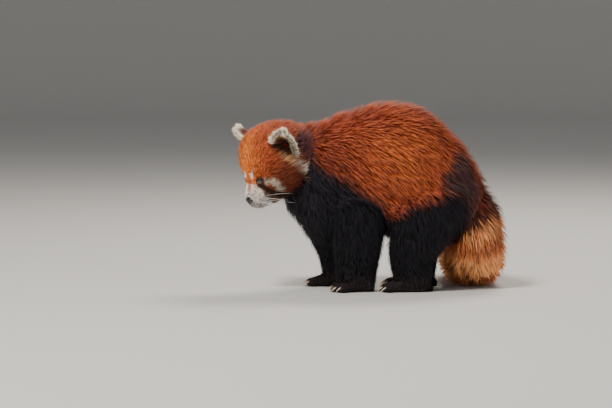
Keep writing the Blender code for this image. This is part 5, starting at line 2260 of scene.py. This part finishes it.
@dataclass
class Face:
    """The eyes with their lids, the nose, and the whiskers."""

    anatomy: Anatomy
    finishes: Finishes
    whisker_rows: int = 3
    whiskers_in_row: int = 3
    whisker_length: float = 48 * MM
    whisker_root: float = 3 * MM
    whisker_thick: float = 0.38 * MM
    brow_length: float = 20 * MM
    eye_depth: float = 1.6 * MM
    lid_columns: int = 64
    seed: int = 21

    def look(self, side: int) -> tuple[Array, Array, Array]:
        """The way an eye looks, the way across it and the way up it, in the head's frame.

        Args:
            side: 1 for the left eye, -1 for the right.

        Returns:
            The three ways.
        """
        outward = unit(mirrored(EYE_LOOK, side))
        across = unit(np.cross((0, 0, 1), outward))
        return outward, across, np.cross(outward, across)

    def socket(self, side: int) -> Array:
        """The middle of an eyeball, a little deeper than the bare solid's, in the head's frame."""
        return mirrored(EYE_PLACE, side) - self.look(side)[0] * self.eye_depth

    def eye(self, side: int, material: Material) -> Thing:
        """An eyeball with a bulging cornea, and its distance from the pupil as the attribute ring.

        Args:
            side: 1 for the left eye, -1 for the right.
            material: its finish.

        Returns:
            The eyeball.
        """
        outward, across, upward = self.look(side)
        axes = np.stack((outward, across, upward))
        points, faces = ellipsoid(np.zeros(3), np.eye(3), 48, 30)
        angle = np.arccos(np.clip(points[:, 0], -1, 1))
        radius = (EYE_RADIUS - 0.15 * MM) + 0.45 * MM * smooth_step(-angle, -0.8, -0.25)
        place = self.socket(side) + (points * radius[:, None]) @ axes
        name = "eye_left" if side > 0 else "eye_right"
        ball = mesh_object(name + "_ball", self.anatomy.on_head(place), faces, material)
        store_numbers(ball.data, "ring", "FLOAT", angle)
        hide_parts(name)
        return ball

    def lids(self, side: int, material: Material) -> Thing:
        """The rims of the lids: a rounded almond band that dives under the skin around it.

        Args:
            side: 1 for the left eye, -1 for the right.
            material: the rims' finish.

        Returns:
            The rims of both lids.
        """
        outward, across, upward = self.look(side)
        columns = self.lid_columns
        turns = np.arange(columns) * math.tau / columns
        wide = EYE_OPENING[0] * np.cos(turns)
        high = EYE_OPENING[1] * np.sin(turns) * np.abs(np.sin(turns)) ** 0.35
        spread = np.arcsin(np.clip(np.hypot(wide, high) / (EYE_RADIUS * 1.03), 0, 0.97))
        heading = np.arctan2(high, wide)
        around = np.cos(heading)[:, None] * across + np.sin(heading)[:, None] * upward
        rows = []
        for extra, radius in LID_SECTION:
            tilt = np.minimum(spread + extra, 1.75)[:, None]
            spots = np.cos(tilt) * outward + np.sin(tilt) * around
            rows.append(self.socket(side) + radius * MM * spots)
        faces = ring_faces(len(rows), columns, poles=False)
        last = (len(rows) - 1) * columns
        for k in range(columns):
            after = (k + 1) % columns
            faces.append((k, last + k, last + after, after))
        name = "lids_left" if side > 0 else "lids_right"
        return mesh_object(name, self.anatomy.on_head(np.concatenate(rows)), faces, material)

    def nose(self, material: Material) -> Thing:
        """The nose pad with its nostrils and the groove below them.

        Args:
            material: its finish.

        Returns:
            The pad.
        """
        points, faces = ellipsoid(np.zeros(3), np.eye(3), 72, 56)
        x, y, z = points.T
        swell = 1 + 0.06 * smooth_step(np.abs(y), 0.4, 0.9)
        place = points * NOSE_SIZE * np.stack((swell, 1.0 + 0 * x, 1 - 0.1 * y * y), axis=1)
        for side in (1, -1):
            pit = mirrored(NOSTRIL_PLACE, side)
            gap = (place - pit) / (np.array((3.0, 2.3, 1.9)) * MM)
            share = np.exp(-((gap**2).sum(1)))
            place = place - np.array((3.2, 0.5 * side, -0.2)) * MM * share[:, None]
            middle = mirrored(NOSTRIL_PLACE + np.array((-1.5, 3.0, -1.2)) * MM, side)
            slit = (place - middle) / (np.array((3.2, 2.6, 0.9)) * MM)
            share = np.exp(-((slit**2).sum(1)))
            place = place - np.array((1.1, 0.5 * side, 0)) * MM * share[:, None]
        seam = np.exp(-((y * NOSE_SIZE[1] / (0.7 * MM)) ** 2)) * smooth_step(-z, -0.25, 0.1)
        place[:, 0] -= 0.7 * MM * seam * (x > 0)
        return mesh_object("nose_pad", self.anatomy.on_head(place + NOSE_PLACE), faces, material)

    def whiskers(self, material: Material) -> Thing:
        """Stiff white hairs from both lip pads, and a few over the eyes.

        Args:
            material: their finish.

        Returns:
            All of them as one piece.
        """
        chance = np.random.default_rng(self.seed)
        hairs = []
        for side in (1, -1):
            for row in range(self.whisker_rows):
                for column in range(self.whiskers_in_row):
                    root = np.array((72 - 4.5 * column, 14 + 3.2 * column, -29 - 4.5 * row)) * MM
                    way = np.array((0.1 - 0.32 * column, 1.0, -0.12 - 0.2 * row))
                    way = unit(way + chance.normal(size=3) * 0.06)
                    length = self.whisker_length * chance.uniform(0.75, 1.1)
                    hairs.append((mirrored(root, side), mirrored(way, side), length))
            for column in range(2):
                root = np.array((52 - 3 * column, 14 + 4 * column, 13)) * MM
                way = unit(mirrored(np.array((0.3, 0.5, 1.0)), side))
                hairs.append((mirrored(root, side), way, self.brow_length))
        things = []
        share = np.linspace(0, 1, 9)
        for root, way, length in hairs:
            droop = np.array((-0.45, 0, -0.5)) * length * 0.55
            path = root + way * length * share[:, None] + droop * (share**2)[:, None]
            path[0] -= way * self.whisker_root
            radii = self.whisker_thick * (1 - 0.8 * share)
            things.append(tube("whisker", self.anatomy.on_head(path), radii, 5, material))
        return joined(things, "whiskers", material)


@dataclass
class Claws:
    """A curved claw out of the top of every toe's end."""

    anatomy: Anatomy
    finish: Material
    rows: int = 10
    sides: int = 10

    def build(self) -> Thing:
        """All the claws.

        Returns:
            The claws as one piece.
        """
        claws = []
        share = np.linspace(0, 1, self.rows)
        drop = 2.5 * MM - 6.5 * MM * share * share
        radii = CLAW_THICK * (1 - 0.85 * share**1.3)
        for name in PAWS:
            for spot, way in toe_frames(name):
                path = spot + way * (CLAW_ROOT + CLAW_LENGTH * share)[:, None] + UPWARD * drop[:, None]
                claws.append(tube("claw", path + self.anatomy.origin, radii, self.sides, self.finish, 0.6))
        return joined(claws, "claws", self.finish)


# The lights: name, place, size, power in watts and colour
LIGHTS = (
    ("key", (-1.2, -1.9, 3.0), (0.8, 0.7), 130, (1.0, 0.955, 0.89)),
    ("fill", (2.4, -2.4, 1.2), (1.8, 1.4), 10, (0.92, 0.96, 1.0)),
    ("rim", (0.8, 1.6, 2.5), (1.4, 0.8), 65, (1.0, 0.93, 0.84)),
    ("glint", (-1.3, -2.9, 0.5), (0.8, 0.8), 16, (1.0, 0.98, 0.95)),
)


@dataclass
class Studio:
    """The floor, the lights and the camera at the photograph's angle."""

    anatomy: Anatomy
    finishes: Finishes
    floor_radius: float = 8.0
    floor_sides: int = 96
    rim: float = 1.6
    wall_height: float = 5.5

    def floor(self) -> None:
        """A pale round floor, whose rim curves up far out on every side."""
        bend = np.linspace(0, math.pi / 2, 12)
        edge = self.floor_radius + self.rim
        radii = np.concatenate(((1.0, 3.0, 5.5), self.floor_radius + self.rim * np.sin(bend), (edge,)))
        heights = np.concatenate(((0, 0, 0), self.rim * (1 - np.cos(bend)), (self.wall_height,)))
        turns = np.arange(self.floor_sides) * math.tau / self.floor_sides
        around = np.stack((np.cos(turns), np.sin(turns), 0 * turns), axis=1)
        rows = [around * radius + UPWARD * height for radius, height in zip(radii, heights)]
        points = np.concatenate(rows + [np.zeros((1, 3))])
        faces = [face[::-1] for face in ring_faces(len(rows), self.floor_sides, poles=False)]
        faces += [(k, (k + 1) % self.floor_sides, len(points) - 1) for k in range(self.floor_sides)]
        mesh = bpy.data.meshes.new("floor")
        mesh.from_pydata([tuple(point) for point in points], [], faces)
        mesh.shade_smooth()
        mesh.materials.append(self.finishes.plain("floor", (0.62, 0.61, 0.59), 0.75, 60.0, 0.3 * MM))
        linked("floor", mesh)

    def light(self, name: str, place: tuple, size: tuple, power: float, rgb: tuple) -> None:
        """An area light that faces the animal.

        Args:
            name: its name.
            place: where it stands.
            size: its width and height.
            power: its power in watts.
            rgb: its colour.
        """
        data = bpy.data.lights.new(name, "AREA")
        data.shape = "RECTANGLE"
        data.size, data.size_y = size
        data.energy = power
        data.color = rgb
        lamp = linked(name, data)
        lamp.location = place
        aim = Vector(self.anatomy.origin + np.array((0, 0, 0.18))) - Vector(place)
        lamp.rotation_euler = aim.to_track_quat("-Z", "Y").to_euler()

    def lights(self) -> None:
        """A key from the upper left, a fill from the right, a rim from behind and a glint for the eyes."""
        for row in LIGHTS:
            self.light(*row)
        world = bpy.data.worlds.new("studio")
        world.use_nodes = True
        sky = world.node_tree.nodes["Background"].inputs
        sky["Color"].default_value = (0.92, 0.92, 0.94, 1)
        sky["Strength"].default_value = 0.27
        bpy.context.scene.world = world

    def camera(self) -> None:
        """The camera of the photograph: nearly level, from the animal's left."""
        data = bpy.data.cameras.new("camera")
        data.sensor_width = SENSOR_WIDTH
        data.lens = SENSOR_WIDTH * CAMERA_DISTANCE * PIXELS_PER_METRE / IMAGE_WIDTH
        data.dof.use_dof = False
        data.clip_end = 60
        camera = linked("camera", data)
        toward = np.array((0, -math.cos(CAMERA_RISE), math.sin(CAMERA_RISE)))
        camera.location = self.anatomy.origin + CAMERA_AIM + CAMERA_DISTANCE * toward
        camera.rotation_euler = (math.pi / 2 - CAMERA_RISE, 0, 0)
        bpy.context.scene.camera = camera

    def build(self) -> None:
        """Sets the whole stage."""
        self.floor()
        self.lights()
        self.camera()


@dataclass
class RedPanda:
    """The whole animal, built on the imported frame."""

    anatomy: Anatomy = field(default_factory=Anatomy)
    finishes: Finishes = field(default_factory=Finishes)

    def ride(self, thing: Thing) -> None:
        """Fixes a piece to the body."""
        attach(thing, BODY)

    def build(self) -> None:
        """Skin, coat, face and claws."""
        tone = self.finishes.hair_tone()
        skin_form = Skin(self.anatomy)
        skin = skin_form.build()
        skin.data.materials.clear()
        skin.data.materials.append(self.finishes.skin(tone))
        tufts = Fleece(self.anatomy, skin_form).write(skin)
        unwrap(skin, "unwrap")
        log.info("skin: %d vertices, %d pieces of coat", len(skin.data.vertices), len(tufts))
        for piece in Coat(skin, self.finishes.coat(tone)).grow(tufts):
            self.ride(piece)
        skin.data.uv_layers.remove(skin.data.uv_layers["unwrap"])
        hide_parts(*self.flesh())
        self.ride(skin)
        self.face()
        claws = Claws(self.anatomy, self.finishes.claw()).build()
        self.ride(claws)

    def flesh(self) -> list[str]:
        """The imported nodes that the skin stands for."""
        names = ["head", "neck", "torso", "tail_base", "tail_mid", "tail_tip", "ear_left", "ear_right"]
        return names + list(LEGS) + list(PAWS)

    def face(self) -> None:
        """Eyes, lids, nose and whiskers."""
        face = Face(self.anatomy, self.finishes)
        eye_finish = self.finishes.eye()
        lid_finish = self.finishes.plain("lid", (0.007, 0.005, 0.004), 0.6, 900.0)
        for side in (1, -1):
            self.ride(face.eye(side, eye_finish))
            self.ride(face.lids(side, lid_finish))
        nose = face.nose(self.finishes.plain("nose", (0.012, 0.011, 0.012), 0.42, 1500.0, 0.35 * MM, 0.25))
        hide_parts("nose")
        self.ride(nose)
        self.ride(face.whiskers(self.finishes.plain("whisker", (0.85, 0.83, 0.8), 0.35)))


def main() -> None:
    """Builds the animal and its studio."""
    logging.basicConfig(level=logging.INFO, format="%(name)s %(message)s")
    panda = RedPanda()
    panda.build()
    Studio(panda.anatomy, panda.finishes).build()


if __name__ == "__main__":
    main()
